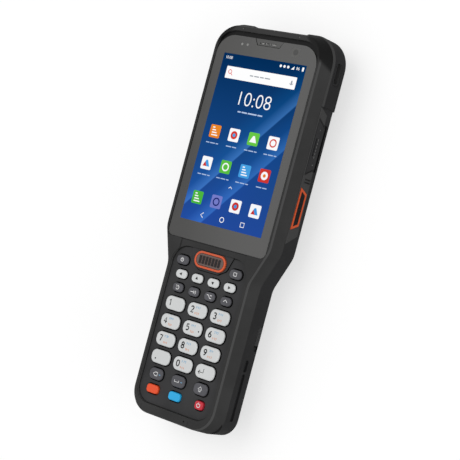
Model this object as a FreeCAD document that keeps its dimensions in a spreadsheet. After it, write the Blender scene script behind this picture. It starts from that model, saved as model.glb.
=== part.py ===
import FreeCAD, Part
import math
import os
import Sketcher

# Portable data terminal, lying on its back: X across, Y towards the scanner end, Z out of the screen.
# The origin is on the rest plane, at the middle of the length and the width. Millimetres.

SIZES = {
    # along the terminal, from the scanner end down
    "bumper_proud": 0.75,
    "top_border": 6.4,
    "glass_length": 105.55,
    "bridge_length": 3.3,
    "bottom_border": 5.2,
    # across the head
    "glass_width": 62.4,
    "gasket_width": 0.6,
    "gasket_top_width": 2.5,
    "rim_width": 1.3,
    "side_flare": 3.1,
    "end_flare": 1.1,
    "rim_round": 0.6,
    "display_width": 56.0,
    "display_length": 92.0,
    # heights above the rest plane
    "back_height": 6.0,
    "belt_height": 12.3,
    "fold_height": 22.9,
    "rim_height": 28.3,
    "case_height": 29.6,
    "glass_drop": 0.7,
    "glass_thickness": 1.0,
    "display_thickness": 3.2,
    # outline of the case
    "shoulder_drop": 4.2,
    "shoulder_length": 17.5,
    "shoulder_round": 12.0,
    "top_round": 14.0,
    "bottom_round": 10.0,
    "back_inset": 4.4,
    "wall": 2.0,
    "corner_wall": 1.7,
    "panel_proud": 0.35,
    # keypad, rows counted down the plate and columns out from its middle
    "plate_margin_top": 4.75,
    "plate_margin_bottom": 5.05,
    "plate_margin_side": 2.87,
    "plate_rim": 2.2,
    "plate_drop": 1.4,
    "plate_thickness": 1.4,
    "plate_ledge": 1.5,
    "ledge_thickness": 1.2,
    "row_gap": 2.0,
    "digit_row_gap": 1.72,
    "digit_key_width": 12.3,
    "digit_key_height": 7.5,
    "digit_key_gap": 2.26,
    "arrow_key_width": 7.4,
    "arrow_key_height": 4.9,
    "arrow_key_gap": 2.96,
    "control_key_width": 7.0,
    "control_key_height": 5.0,
    "programme_key_width": 8.0,
    "programme_key_height": 5.2,
    "programme_key_gap": 3.3,
    "edit_key_width": 9.0,
    "edit_key_height": 6.4,
    "colour_key_width": 7.8,
    "colour_key_height": 4.9,
    "power_key_width": 5.6,
    "power_key_shift": 1.47,
    "key_rise": 1.3,
    "key_depth": 3.4,
    "key_travel": 0.6,
    "key_clearance": 0.3,
    "key_trim_width": 0.4,
    "key_trim_height": 0.6,
    "key_trim_round": 0.35,
    "dome_clearance": 0.15,
    "key_edge_round": 0.7,
    "digit_key_round": 3.2,
    "arrow_key_round": 2.35,
    "control_key_round": 2.35,
    "programme_key_round": 2.5,
    "edit_key_round": 2.8,
    "colour_key_round": 1.9,
    # scan key
    "scan_ring_length": 19.6,
    "scan_ring_height": 8.3,
    "scan_ring_width": 1.0,
    "scan_ring_margin": 0.5,
    "scan_ring_rise": 1.3,
    "shield_rise": 0.5,
    "shield_foot_half": 6.0,
    "shield_waist_half": 10.8,
    "shield_waist_rise": 2.6,
    "shield_top_half": 13.4,
    "shield_drop": 1.1,
    "shield_groove": 0.4,
    "shield_groove_depth": 0.4,
    "rib_width": 1.2,
    "rib_pitch": 2.0,
    "rib_half_length": 2.0,
    "rib_rise": 0.35,
    # keypad layers
    "membrane_thickness": 0.4,
    "membrane_bead": 0.9,
    "keypad_board_thickness": 1.2,
    # corner bumpers and strap slots
    "bumper_inset": 3.9,
    "bumper_reach": 34.0,
    "bumper_half_gap": 17.0,
    "bumper_foot": 3.8,
    "bumper_edge": 1.0,
    "slot_frame": 0.8,
    "slot_frame_width": 0.5,
    "slot_frame_depth": 0.3,
    "strap_slot_length": 10.0,
    "strap_slot_height": 3.5,
    "strap_slot_drop": 11.5,
    "strap_pocket_depth": 3.6,
    # side trigger
    "trigger_drop": 74.4,
    "trigger_length": 20.9,
    "trigger_height": 5.8,
    "trigger_slant": 2.4,
    "trigger_gap": 0.25,
    "trigger_travel": 0.7,
    "trigger_edge": 1.1,
    "trigger_flange": 0.9,
    "under_fold": 0.8,
    "tick_place": 2.9,
    "tick_pitch": 1.5,
    "tick_width": 0.7,
    "tick_height": 0.2,
    # side port and its cover
    "cover_drop": 39.5,
    "cover_length": 28.6,
    "cover_height": 6.5,
    "cover_slant": 3.6,
    "cover_thickness": 1.6,
    "cover_gap": 0.25,
    "hinge_radius": 0.95,
    "hinge_overhang": 0.7,
    "hinge_pin_radius": 0.5,
    "hinge_pin_clearance": 0.06,
    "hinge_pin_length": 1.0,
    "port_depth": 3.0,
    "socket_width": 9.4,
    "socket_height": 3.6,
    "socket_length": 6.6,
    # battery pack, its well and its latches
    "battery_start": 9.5,
    "battery_end": 6.4,
    "battery_lip": 1.6,
    "battery_block_width": 38.0,
    "battery_block_height": 15.0,
    "battery_clearance": 0.4,
    "battery_shell_height": 5.7,
    "battery_face_inset": 4.0,
    "roof_thickness": 1.5,
    "latch_place": 32.0,
    "latch_length": 9.6,
    "latch_height": 3.8,
    "latch_travel": 2.6,
    "latch_depth": 1.5,
    "latch_clearance": 0.2,
    # scanner hump, window and engine
    "hump_half_width": 26.0,
    "hump_length": 31.0,
    "hump_slope": 4.5,
    "window_width": 29.6,
    "window_height": 9.4,
    "window_thickness": 1.2,
    "window_recess": 2.2,
    "window_frame": 1.3,
    "engine_width": 24.0,
    "engine_length": 16.0,
    "engine_height": 12.0,
    # things inside the head
    "floor_thickness": 2.0,
    "belly_inset": 4.9,
    "board_thickness": 1.2,
    "board_height": 14.0,
    "board_half_width": 26.0,
    "board_length": 76.0,
    "post_radius": 2.2,
    "speaker_radius": 8.5,
    "speaker_height": 4.0,
    "speaker_rise": 23.0,
    "camera_radius": 4.0,
    "camera_block": 10.0,
    "camera_drop": 47.0,
    "front_camera_width": 6.4,
    "front_camera_shift": 17.3,
    # screws and seal
    "screw_radius": 1.0,
    "screw_head_radius": 1.9,
    "screw_head_height": 1.3,
    "screw_clearance": 0.1,
    "screw_bite": 2.2,
    "boss_radius": 2.9,
    "seal_width": 0.8,
    "seal_thickness": 0.6,
    # side groove and dock contacts
    "groove_length": 31.0,
    "groove_height": 2.5,
    "groove_depth": 1.2,
    "contact_width": 1.6,
    "contact_pitch": 2.8,
    "contact_height": 3.0,
    "contact_depth": 1.0,
    "fit": 0.1,
}

doc = FreeCAD.newDocument("data_terminal")
sheet = doc.addObject("Spreadsheet::Sheet", "Sizes")
for row, (alias, number) in enumerate(SIZES.items(), start=1):
    sheet.set("A%d" % row, alias.replace("_", " "))
    sheet.set("B%d" % row, str(number))
    sheet.setAlias("B%d" % row, alias)
doc.recompute()


class Size:
    """A length written both as a formula on the sheet and as its present value."""

    def __init__(self, formula, value):
        self.formula = formula
        self.value = value

    def __add__(self, other):
        other = as_size(other)
        return Size("(%s + %s)" % (self.formula, other.formula), self.value + other.value)

    def __sub__(self, other):
        other = as_size(other)
        return Size("(%s - %s)" % (self.formula, other.formula), self.value - other.value)

    def __mul__(self, other):
        other = as_size(other)
        return Size("(%s * %s)" % (self.formula, other.formula), self.value * other.value)

    def __truediv__(self, other):
        other = as_size(other)
        return Size("(%s / %s)" % (self.formula, other.formula), self.value / other.value)

    def __neg__(self):
        return Size("(-1 * %s)" % self.formula, -self.value)

    def __radd__(self, other):
        return as_size(other) + self

    def __rsub__(self, other):
        return as_size(other) - self

    def __rmul__(self, other):
        return as_size(other) * self


def as_size(number):
    """A plain number as a size, so that the two mix in one sum."""
    return number if isinstance(number, Size) else Size(repr(float(number)), float(number))


def larger(first, second):
    """The larger of two sizes."""
    return Size("max(%s; %s)" % (first.formula, second.formula), max(first.value, second.value))


class Named:
    """Gives each cell of the sheet by its alias."""

    def __getattr__(self, alias):
        return Size("Sizes." + alias, float(sheet.get(alias)))


s = Named()


# Sketches and features

PLANE_ROLES = {"XY": "XY_Plane", "XZ": "XZ_Plane", "YZ": "YZ_Plane"}


def new_body(label):
    """An empty body that carries a sub-part's name."""
    body = doc.addObject("PartDesign::Body", label)
    body.Label = label
    return body


def new_sketch(body, name, plane, offset):
    """A sketch of the body, on one of its origin planes moved along the plane's normal."""
    sketch = body.newObject("Sketcher::SketchObject", "%s_%s" % (body.Name, name))
    origin_plane = [f for f in body.Origin.OriginFeatures if f.Role == PLANE_ROLES[plane]][0]
    sketch.AttachmentSupport = [(origin_plane, "")]
    sketch.MapMode = "FlatFace"
    sketch.setExpression("AttachmentOffset.Base.z", as_size(offset).formula)
    return sketch


def add_all(sketch, constraints):
    """Adds (constraint, formula or none) pairs in one call and ties the sizes to their formulas."""
    indices = sketch.addConstraint([constraint for constraint, _ in constraints])
    for index, (_, formula) in zip(indices, constraints):
        if formula is not None:
            sketch.setExpression("Constraints[%d]" % index, formula)


def at_place(geometry, point, x, y):
    """The two constraints that hold one point of a sketch at its formulas."""
    return [(Sketcher.Constraint("DistanceX", geometry, point, x.value), x.formula),
            (Sketcher.Constraint("DistanceY", geometry, point, y.value), y.formula)]


def draw_outline(sketch, corners):
    """A closed outline through corners (x, y) or (x, y, rounding radius), anticlockwise or not."""
    corners = [tuple(as_size(v) for v in corner) for corner in corners]
    points = [FreeCAD.Vector(c[0].value, c[1].value, 0) for c in corners]
    count = len(corners)
    trimmed = []
    for i, corner in enumerate(corners):
        back = (points[i - 1] - points[i]).normalize()
        ahead = (points[(i + 1) % count] - points[i]).normalize()
        if len(corner) == 2:
            trimmed.append((points[i], points[i], None, False))
            continue
        radius = corner[2].value
        half = math.acos(max(-1.0, min(1.0, back.dot(ahead)))) / 2
        middle = points[i] + (back + ahead).normalize() * (radius / math.sin(half))
        start = points[i] + back * (radius / math.tan(half))
        end = points[i] + ahead * (radius / math.tan(half))
        left_turn = (-back).cross(ahead).z > 0
        trimmed.append((start, end, middle, left_turn))
    lines = sketch.addGeometry([Part.LineSegment(trimmed[i][1], trimmed[(i + 1) % count][0])
                                for i in range(count)], False)
    constraints = []
    for i, corner in enumerate(corners):
        before, after = lines[i - 1], lines[i]
        start, end, middle, left_turn = trimmed[i]
        if middle is None:
            constraints.append((Sketcher.Constraint("Coincident", before, 2, after, 1), None))
            constraints += at_place(after, 1, corner[0], corner[1])
            continue
        radius = corner[2]
        first, last = (start, end) if left_turn else (end, start)
        angles = [math.atan2((p - middle).y, (p - middle).x) for p in (first, last)]
        circle = Part.Circle(middle, FreeCAD.Vector(0, 0, 1), radius.value)
        arc = sketch.addGeometry(Part.ArcOfCircle(circle, angles[0], angles[1]), False)
        tip = sketch.addGeometry(Part.Point(points[i]), True)
        near, far = (1, 2) if left_turn else (2, 1)
        constraints.append((Sketcher.Constraint("Tangent", before, 2, arc, near), None))
        constraints.append((Sketcher.Constraint("Tangent", arc, far, after, 1), None))
        constraints.append((Sketcher.Constraint("Radius", arc, radius.value), radius.formula))
        constraints += at_place(tip, 1, corner[0], corner[1])
        constraints.append((Sketcher.Constraint("PointOnObject", tip, 1, before), None))
        constraints.append((Sketcher.Constraint("PointOnObject", tip, 1, after), None))
    add_all(sketch, constraints)


def draw_circle(sketch, x, y, radius):
    """A circle whose middle and radius follow their formulas."""
    x, y, radius = as_size(x), as_size(y), as_size(radius)
    middle = FreeCAD.Vector(x.value, y.value, 0)
    circle = sketch.addGeometry(Part.Circle(middle, FreeCAD.Vector(0, 0, 1), radius.value), False)
    add_all(sketch, at_place(circle, 3, x, y)
            + [(Sketcher.Constraint("Radius", circle, radius.value), radius.formula)])


cuts = []


def extrude(kind, body, name, plane, low, high, outlines, circles=()):
    """A pad or a pocket between two heights along the plane's row axis."""
    low, high = as_size(low), as_size(high)
    offset = -high if plane == "XZ" else low
    sketch = new_sketch(body, name + "_outline", plane, offset)
    for corners in outlines:
        draw_outline(sketch, corners)
    for circle in circles:
        draw_circle(sketch, *circle)
    feature = body.newObject(kind, "%s_%s" % (body.Name, name))
    feature.Profile = sketch
    feature.setExpression("Length", (high - low).formula)
    feature.Refine = False
    if kind == "PartDesign::Pocket":
        feature.Reversed = True
        cuts.append(feature)
    return feature


def pad(body, name, plane, low, high, outlines, circles=()):
    return extrude("PartDesign::Pad", body, name, plane, low, high, outlines, circles)


def cut(body, name, plane, low, high, outlines, circles=()):
    return extrude("PartDesign::Pocket", body, name, plane, low, high, outlines, circles)


def loft(body, name, levels):
    """A ruled loft through outlines at several heights."""
    sketches = []
    for number, (height, corners) in enumerate(levels):
        sketch = new_sketch(body, "%s_level%d" % (name, number), "XY", height)
        draw_outline(sketch, corners)
        sketches.append(sketch)
    feature = body.newObject("PartDesign::AdditiveLoft", "%s_%s" % (body.Name, name))
    feature.Profile = sketches[0]
    feature.Sections = sketches[1:]
    feature.Ruled = True
    feature.Refine = False
    return feature


def box_outline(x_low, x_high, y_low, y_high, radius=None):
    """A rectangle, with its four corners rounded where a radius is given."""
    ends = [(x_low, y_low), (x_high, y_low), (x_high, y_high), (x_low, y_high)]
    return [end if radius is None else end + (radius,) for end in ends]


def both_sides(right_half):
    """An outline from its right half, listed from the bottom up, and that half mirrored."""
    left_half = [(-as_size(c[0]),) + tuple(c[1:]) for c in reversed(right_half)]
    return list(right_half) + left_half


def mirrored(source, label):
    """The left-hand copy of a right-hand piece."""
    copy = doc.addObject("Part::Mirroring", label)
    copy.Label = label
    copy.Source = source
    copy.Normal = (1, 0, 0)
    return copy


# Places that several pieces share

key_rows_length = (s.programme_key_height + s.arrow_key_height + s.control_key_height
                   + 4 * s.digit_key_height + s.edit_key_height + s.colour_key_height
                   + 4 * s.row_gap + 4 * s.digit_row_gap)
plate_length = s.plate_margin_top + key_rows_length + s.plate_margin_bottom
case_length = (s.bumper_proud + s.top_border + s.glass_length + s.bridge_length
               + plate_length + s.bottom_border)
half_length = case_length / 2
case_top = half_length - s.bumper_proud
case_bottom = -half_length
glass_top = case_top - s.top_border
glass_bottom = glass_top - s.glass_length
glass_middle = (glass_top + glass_bottom) / 2
glass_half = s.glass_width / 2
plate_top = glass_bottom - s.bridge_length
plate_bottom = plate_top - plate_length

digit_pitch = s.digit_key_width + s.digit_key_gap
digit_outer = digit_pitch + s.digit_key_width / 2
programme_x = s.scan_ring_length / 2 + s.programme_key_gap + s.programme_key_width / 2
keys_half = larger(digit_outer, programme_x + s.programme_key_width / 2)
plate_half = keys_half + s.plate_margin_side
handle_half = plate_half + s.plate_rim + s.side_flare
recess_half = glass_half + s.gasket_width
recess_top = glass_top + s.gasket_top_width
head_half = recess_half + s.rim_width + s.side_flare
panel_x = head_half + s.panel_proud

shoulder_top = glass_bottom + s.shoulder_drop
shoulder_bottom = shoulder_top - s.shoulder_length
bumper_x = head_half - s.bumper_inset
bumper_y = case_top - s.bumper_inset + s.end_flare / 2
bumper_inner_round = s.top_round - s.bumper_inset + 1.0
bumper_start = half_length - s.bumper_reach

glass_floor = s.case_height - s.glass_drop - s.glass_thickness
plate_face = s.case_height - s.plate_drop
plate_floor = plate_face - s.plate_thickness
ceiling = plate_floor - s.ledge_thickness
key_face = plate_face + s.key_rise
key_foot = key_face - s.key_depth
dome_height = key_foot - s.key_travel - s.dome_clearance
head_floor = s.back_height + s.floor_thickness
well_height = s.battery_block_height + s.battery_clearance
roof_height = well_height + s.roof_thickness

battery_top = shoulder_top - s.battery_start
battery_bottom = case_bottom + s.battery_end
board_bottom = shoulder_top + 3.5
board_top = board_bottom + s.board_length
engine_top = bumper_y - s.corner_wall - 0.6


def case_outline(inset, top_inset, bottom_inset):
    """The case's plan at one height, drawn in from its widest plan."""
    top_radius = s.top_round - inset / 2
    bottom_radius = s.bottom_round + inset / 3
    return both_sides([
        (handle_half - inset, case_bottom + bottom_inset, bottom_radius),
        (handle_half - inset, shoulder_bottom, s.shoulder_round),
        (head_half - inset, shoulder_top, s.shoulder_round),
        (head_half - inset, case_top - top_inset, top_radius)])


def cavity_outline(grow):
    """The rear housing's inner plan, grown by an even margin: narrower beside the corner bumpers."""
    corner_x = bumper_x - s.corner_wall
    step = bumper_start - s.corner_wall
    return both_sides([
        (handle_half - s.wall + grow, case_bottom + s.wall - grow, 6.0),
        (handle_half - s.wall + grow, shoulder_bottom, s.shoulder_round - 2.0),
        (head_half - s.wall + grow, shoulder_top, s.shoulder_round),
        (head_half - s.wall + grow, step - 3.0 + grow, 2.0),
        (corner_x + grow, step - 1.0 + grow, 2.0),
        (corner_x + grow, bumper_y - s.corner_wall + grow, bumper_inner_round - s.corner_wall + grow)])


def corner_strip(side):
    """Plan of everything outside the line where a corner bumper meets the housings."""
    far_x = side * (head_half + 8.0)
    far_y = case_top + 8.0
    corners = [
        (side * bumper_x, bumper_start),
        (far_x, bumper_start),
        (far_x, far_y),
        (side * s.bumper_half_gap, far_y),
        (side * s.bumper_half_gap, bumper_y),
        (side * bumper_x, bumper_y, bumper_inner_round)]
    return corners if side > 0 else corners[::-1]


screw_places = [(17.6, bumper_y - 6.0), (head_half - 10.6, shoulder_top - 1.0),
                (handle_half - 12.0, case_bottom + 4.5)]
screw_points = [(side * x, y) for x, y in screw_places for side in (1, -1)]
screw_circles = [(x, y, s.screw_radius + s.screw_clearance) for x, y in screw_points]


# Front housing

front = new_body("front_housing")
loft(front, "shell", [
    (s.fold_height, case_outline(0.0, 0.0, 0.0)),
    (s.rim_height, case_outline(s.side_flare, s.end_flare, 0.2)),
    (s.case_height, case_outline(s.side_flare + s.rim_round, s.end_flare + s.rim_round, 0.2 + s.rim_round))])
front_cavity_x = bumper_x - s.corner_wall
front_handle_x = handle_half - s.side_flare - s.corner_wall
front_cavity = both_sides([
    (front_handle_x, case_bottom + 3.4, 6.0),
    (front_handle_x, shoulder_bottom, s.shoulder_round),
    (front_cavity_x, shoulder_top, s.shoulder_round),
    (front_cavity_x, bumper_y - s.corner_wall, 8.0)])
cut(front, "cavity", "XY", s.fold_height - 1.0, ceiling, [front_cavity])
glass_recess = both_sides([
    (recess_half, glass_bottom - 0.25, 3.2),
    (recess_half, recess_top, 11.0)])
cut(front, "glass_recess", "XY", glass_floor, s.case_height + 1.0, [glass_recess])
display_half = s.display_width / 2
display_low = glass_middle - s.display_length / 2
display_high = glass_middle + s.display_length / 2 - 1.0
cut(front, "display_opening", "XY", ceiling - 1.0, glass_floor + 0.5, [box_outline(
    -display_half - s.key_clearance, display_half + s.key_clearance,
    display_low - s.key_clearance, display_high + s.key_clearance, 1.5)])
plate_recess = both_sides([
    (plate_half + s.fit, plate_bottom - s.fit, 8.0),
    (plate_half + s.fit, plate_top + s.fit, 9.0)])
cut(front, "plate_recess", "XY", plate_floor, s.case_height + 1.0, [plate_recess])
opening_half = plate_half - s.plate_ledge
cut(front, "key_opening", "XY", ceiling - 1.0, plate_floor + 0.5, [both_sides([
    (opening_half, plate_bottom + s.plate_ledge, 6.5),
    (opening_half, plate_top - s.plate_ledge, 7.5)])])
cut(front, "bridge", "XY", s.case_height - 0.45, s.case_height + 1.0, [
    box_outline(-plate_half + 3.0, plate_half - 3.0, plate_top - 4.0, glass_bottom + 1.0)])
camera_x = s.front_camera_shift
camera_y = glass_top - s.front_camera_width / 2 - 1.1
camera_half = s.front_camera_width / 2
cut(front, "camera_seat", "XY", ceiling - 1.0, glass_floor + 0.5, [box_outline(
    camera_x - camera_half - s.fit, camera_x + camera_half + s.fit,
    camera_y - camera_half - s.fit, camera_y + camera_half + s.fit)])
cut(front, "seal_groove", "XY", s.fold_height - 0.5, s.fold_height + s.seal_thickness,
    [cavity_outline(0.45 + s.seal_width)])
pad(front, "seal_tongue", "XY", s.fold_height, s.fold_height + s.seal_thickness, [cavity_outline(0.45)])
cut(front, "seal_tongue_core", "XY", s.fold_height - 0.5, s.fold_height + s.seal_thickness, [front_cavity])
pad(front, "bosses", "XY", s.fold_height, ceiling + 0.2, [],
    [(x, y, s.boss_radius) for x, y in screw_points])
cut(front, "screw_holes", "XY", s.fold_height - 0.5, s.fold_height + s.screw_bite + 0.2, [], screw_circles)
microphone = (plate_half - 14.0, plate_bottom - 2.4, 0.45)
cut(front, "microphone_hole", "XY", s.case_height - 2.5, s.case_height + 1.0, [], [microphone])

seal = new_body("housing_seal")
pad(seal, "outside", "XY", s.fold_height, s.fold_height + s.seal_thickness,
    [cavity_outline(0.45 + s.seal_width)])
cut(seal, "inside", "XY", s.fold_height - 0.5, s.fold_height + s.seal_thickness + 0.5, [cavity_outline(0.45)])


# Touch glass, its gasket, the display and what sits in the top border

notch_half = 9.0
notch_foot = 7.0
notch_depth = 3.4
glass = new_body("touch_glass")
pad(glass, "pane", "XY", glass_floor, glass_floor + s.glass_thickness, [both_sides([
    (glass_half, glass_bottom, 3.0),
    (glass_half, glass_top, 10.0),
    (notch_half, glass_top),
    (notch_foot, glass_top - notch_depth)])])

gasket = new_body("glass_gasket")
pad(gasket, "ring", "XY", glass_floor, glass_floor + s.glass_thickness - 0.5, [
    both_sides([
        (recess_half, glass_bottom - 0.25, 3.2),
        (recess_half, recess_top, 11.0)]),
    both_sides([
        (glass_half + 0.04, glass_bottom - 0.04, 3.0),
        (glass_half + 0.04, glass_top + 0.04, 10.0)])])

grille = new_body("earpiece_grille")
pad(grille, "plate", "XY", glass_floor, glass_floor + s.glass_thickness - 0.15, [both_sides([
    (notch_foot - 0.25, glass_top - notch_depth + 0.25),
    (notch_half - 0.25, glass_top)])])
cut(grille, "slot", "XY", glass_floor + 0.4, glass_floor + s.glass_thickness,
    [box_outline(-5.6, 4.8, glass_top - 2.5, glass_top - 1.6, 0.4)])

display = new_body("display_module")
pad(display, "panel", "XY", glass_floor - s.display_thickness, glass_floor,
    [box_outline(-display_half, display_half, display_low, display_high, 1.2)])

front_camera = new_body("front_camera")
pad(front_camera, "block", "XY", ceiling + 0.4, glass_floor - 0.6, [box_outline(
    camera_x - camera_half, camera_x + camera_half, camera_y - camera_half, camera_y + camera_half, 0.6)])
pad(front_camera, "barrel", "XY", glass_floor - 0.7, glass_floor, [], [(camera_x, camera_y, 2.1)])


# Keypad plate with the raised shield round the scan key

scan_y = plate_top - s.scan_ring_margin - s.scan_ring_height / 2
programme_y = plate_top - s.plate_margin_top - s.programme_key_height / 2
arrow_y = programme_y - s.programme_key_height / 2 - s.row_gap - s.arrow_key_height / 2
control_y = arrow_y - s.arrow_key_height / 2 - s.row_gap - s.control_key_height / 2
digit_y = control_y - s.control_key_height / 2 - s.row_gap - s.digit_key_height / 2
digit_row_pitch = s.digit_key_height + s.digit_row_gap
edit_y = digit_y - 3 * digit_row_pitch - s.digit_key_height / 2 - s.digit_row_gap - s.edit_key_height / 2
colour_y = edit_y - s.edit_key_height / 2 - s.row_gap - s.colour_key_height / 2
arrow_pitch = s.arrow_key_width + s.arrow_key_gap

# name, middle x, middle y, width, height, corner rounding
keys = [
    ("key_programme_left", -programme_x, programme_y, s.programme_key_width, s.programme_key_height,
     s.programme_key_round),
    ("key_programme_right", programme_x, programme_y, s.programme_key_width, s.programme_key_height,
     s.programme_key_round)]
for place, name in enumerate(("left", "up", "down", "right")):
    keys.append(("key_arrow_" + name, (place - 1.5) * arrow_pitch, arrow_y,
                 s.arrow_key_width, s.arrow_key_height, s.arrow_key_round))
for place, name in enumerate(("one", "two", "three", "four")):
    keys.append(("key_control_" + name, (place - 1.5) * arrow_pitch, control_y,
                 s.control_key_width, s.control_key_height, s.control_key_round))
digit_names = (("1", "2", "3"), ("4", "5", "6"), ("7", "8", "9"), ("point", "0", "enter"))
for line, names in enumerate(digit_names):
    for place, name in enumerate(names):
        keys.append(("key_" + name, (place - 1) * digit_pitch, digit_y - line * digit_row_pitch,
                     s.digit_key_width, s.digit_key_height, s.digit_key_round))
for place, name in enumerate(("erase", "space", "shift")):
    keys.append(("key_" + name, (place - 1) * digit_pitch, edit_y,
                 s.edit_key_width, s.edit_key_height, s.edit_key_round))
for place, name in enumerate(("orange", "blue")):
    keys.append(("key_" + name, (place - 1) * digit_pitch, colour_y,
                 s.colour_key_width, s.colour_key_height, s.colour_key_round))
keys.append(("key_power", digit_pitch + s.power_key_shift, colour_y,
             s.power_key_width, s.colour_key_height, s.colour_key_round))


def key_hole(x, y, width, height, radius, gap):
    """The outline of a key at its place, grown by a gap."""
    return box_outline(x - width / 2 - gap, x + width / 2 + gap,
                       y - height / 2 - gap, y + height / 2 + gap, radius + gap)


plate = new_body("keypad_plate")
pad(plate, "sheet", "XY", plate_floor, plate_face, [both_sides([
    (plate_half, plate_bottom, 8.0),
    (plate_half, plate_top, 9.0)])])
shield_foot = scan_y - s.scan_ring_height / 2 - s.shield_drop


def shield_outline(gap, top):
    """The shield's outline grown by a gap, up to a height."""
    return both_sides([
        (s.shield_foot_half + gap, shield_foot - gap, 1.5),
        (s.shield_waist_half + gap, shield_foot + s.shield_waist_rise, 3.0),
        (s.shield_top_half + gap, top, 0.3)])


cut(plate, "shield_groove", "XY", plate_face - s.shield_groove_depth, plate_face + 1.0,
    [shield_outline(s.shield_groove, plate_top + 1.0)])
pad(plate, "shield", "XY", plate_face - s.shield_groove_depth - 0.1, plate_face + s.shield_rise,
    [shield_outline(0.0, plate_top)])
ring_radius = s.scan_ring_height / 2
cut(plate, "ring_hole", "XY", plate_floor - 0.5, plate_face + 2.0, [key_hole(
    0.0, scan_y, s.scan_ring_length, s.scan_ring_height, ring_radius - 0.01, s.fit)])
row_heights = sorted({y.value for _, _, y, _, _, _ in keys})
for number, row_height in enumerate(row_heights):
    cut(plate, "key_holes_%d" % number, "XY", plate_floor - 0.5, plate_face + 2.0, [
        key_hole(x, y, width, height, radius, s.key_clearance)
        for _, x, y, width, height, radius in keys if y.value == row_height])

ring = new_body("scan_key_ring")
scan_width = s.scan_ring_length - 2 * s.scan_ring_width
scan_height = s.scan_ring_height - 2 * s.scan_ring_width
pad(ring, "ring", "XY", plate_floor, plate_face + s.scan_ring_rise, [
    key_hole(0.0, scan_y, s.scan_ring_length, s.scan_ring_height, ring_radius - 0.01, 0.0),
    key_hole(0.0, scan_y, scan_width, scan_height,
             ring_radius - s.scan_ring_width - 0.01, 0.0)])

scan_gap = s.key_clearance - 0.05
scan_cap_width = scan_width - 2 * scan_gap
scan_cap_height = scan_height - 2 * scan_gap
scan_key = ("key_scan", 0.0, scan_y, scan_cap_width, scan_cap_height,
            ring_radius - s.scan_ring_width - scan_gap - 0.01)


# Keys: a cap with a rounded upper edge, standing in its hole above its dome

key_bodies = []
key_caps = []
for label, x, y, width, height, radius in keys + [scan_key]:
    body = new_body(label)
    is_scan = label == "key_scan"
    half_width = width / 2 if is_scan else (width - s.key_trim_width) / 2
    half_height = height / 2 if is_scan else (height - s.key_trim_height) / 2
    cap = pad(body, "cap", "XY", key_foot, key_face, [box_outline(
        -half_width, half_width, -half_height, half_height, radius if is_scan else radius - s.key_trim_round)])
    if is_scan:
        ribs = [box_outline(s.rib_pitch * step - s.rib_width / 2, s.rib_pitch * step + s.rib_width / 2,
                            -s.rib_half_length, s.rib_half_length) for step in range(-3, 4)]
        pad(body, "ribs", "XY", key_face - 0.1, key_face + s.rib_rise, ribs)
    body.setExpression("Placement.Base.x", as_size(x).formula)
    body.setExpression("Placement.Base.y", as_size(y).formula)
    key_bodies.append(body)
    key_caps.append(cap)


# Silicone membrane with a dome under each key, and the keypad board behind it

membrane_half = opening_half + s.membrane_bead
membrane = new_body("keypad_membrane")
sheet_face = ceiling - 1.0
membrane_plan = both_sides([
    (membrane_half, plate_bottom + s.plate_ledge - s.membrane_bead, 6.0),
    (membrane_half, plate_top - s.plate_ledge + s.membrane_bead, 7.0)])
pad(membrane, "sheet", "XY", sheet_face - s.membrane_thickness, sheet_face, [membrane_plan])
pad(membrane, "bead", "XY", sheet_face - 0.1, ceiling, [
    both_sides([
        (membrane_half, plate_bottom + s.plate_ledge - s.membrane_bead, 6.0),
        (membrane_half, plate_top - s.plate_ledge + s.membrane_bead, 7.0)]),
    both_sides([
        (opening_half, plate_bottom + s.plate_ledge, 5.5),
        (opening_half, plate_top - s.plate_ledge, 6.5)])])
pad(membrane, "domes", "XY", sheet_face - 0.1, dome_height, [], [
    (x, y, 1.7) for _, x, y, _, _, _ in keys + [scan_key]])

tail_bosses = [(x, y, s.boss_radius + 0.3) for x, y in screw_points[4:]]
cut(membrane, "boss_notches", "XY", sheet_face - 1.0, ceiling + 1.0, [], tail_bosses)

keypad_board = new_body("keypad_board")
board_face = sheet_face - s.membrane_thickness
pad(keypad_board, "board", "XY", board_face - s.keypad_board_thickness, board_face,
    [box_outline(-membrane_half, membrane_half, plate_bottom + s.plate_ledge,
                 plate_top - s.plate_ledge, 6.0)])
cut(keypad_board, "boss_notches", "XY", board_face - s.keypad_board_thickness - 1.0, board_face + 1.0,
    [], tail_bosses)
pad(keypad_board, "connector", "XY", board_face - s.keypad_board_thickness - 1.4,
    board_face - s.keypad_board_thickness + 0.1,
    [box_outline(-7.0, 7.0, plate_top - 9.0, plate_top - 5.0)])


# Rear housing

rear = new_body("rear_housing")
loft(rear, "shell", [
    (s.back_height, case_outline(s.back_inset, s.back_inset - 1.0, 1.6)),
    (s.belt_height, case_outline(0.0, 0.0, 0.0)),
    (s.fold_height, case_outline(0.0, 0.0, 0.0))])
hump_top = case_top - 3.6
hump_bottom = hump_top - s.hump_length
loft(rear, "hump", [
    (0.0, box_outline(-s.hump_half_width + s.hump_slope, s.hump_half_width - s.hump_slope,
                      hump_bottom + s.hump_slope + 2.5, hump_top - s.hump_slope, 5.0)),
    (s.back_height + 0.5, box_outline(-s.hump_half_width, s.hump_half_width, hump_bottom, hump_top, 6.0))])
tail_gap = s.battery_clearance
loft(rear, "tail", [
    (1.2, box_outline(-plate_half + 6.0, plate_half - 6.0, case_bottom + 4.0, battery_bottom - tail_gap)),
    (s.back_height + 0.5, box_outline(-plate_half + 2.0, plate_half - 2.0, case_bottom + 2.6,
                                      battery_bottom - tail_gap))])
loft(rear, "brow", [
    (1.2, box_outline(-plate_half + 3.0, plate_half - 3.0, battery_top + tail_gap, battery_top + 3.4)),
    (s.back_height + 0.5, box_outline(-plate_half, plate_half, battery_top + tail_gap, battery_top + 9.0))])
panel_top = bumper_start - 0.4
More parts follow.
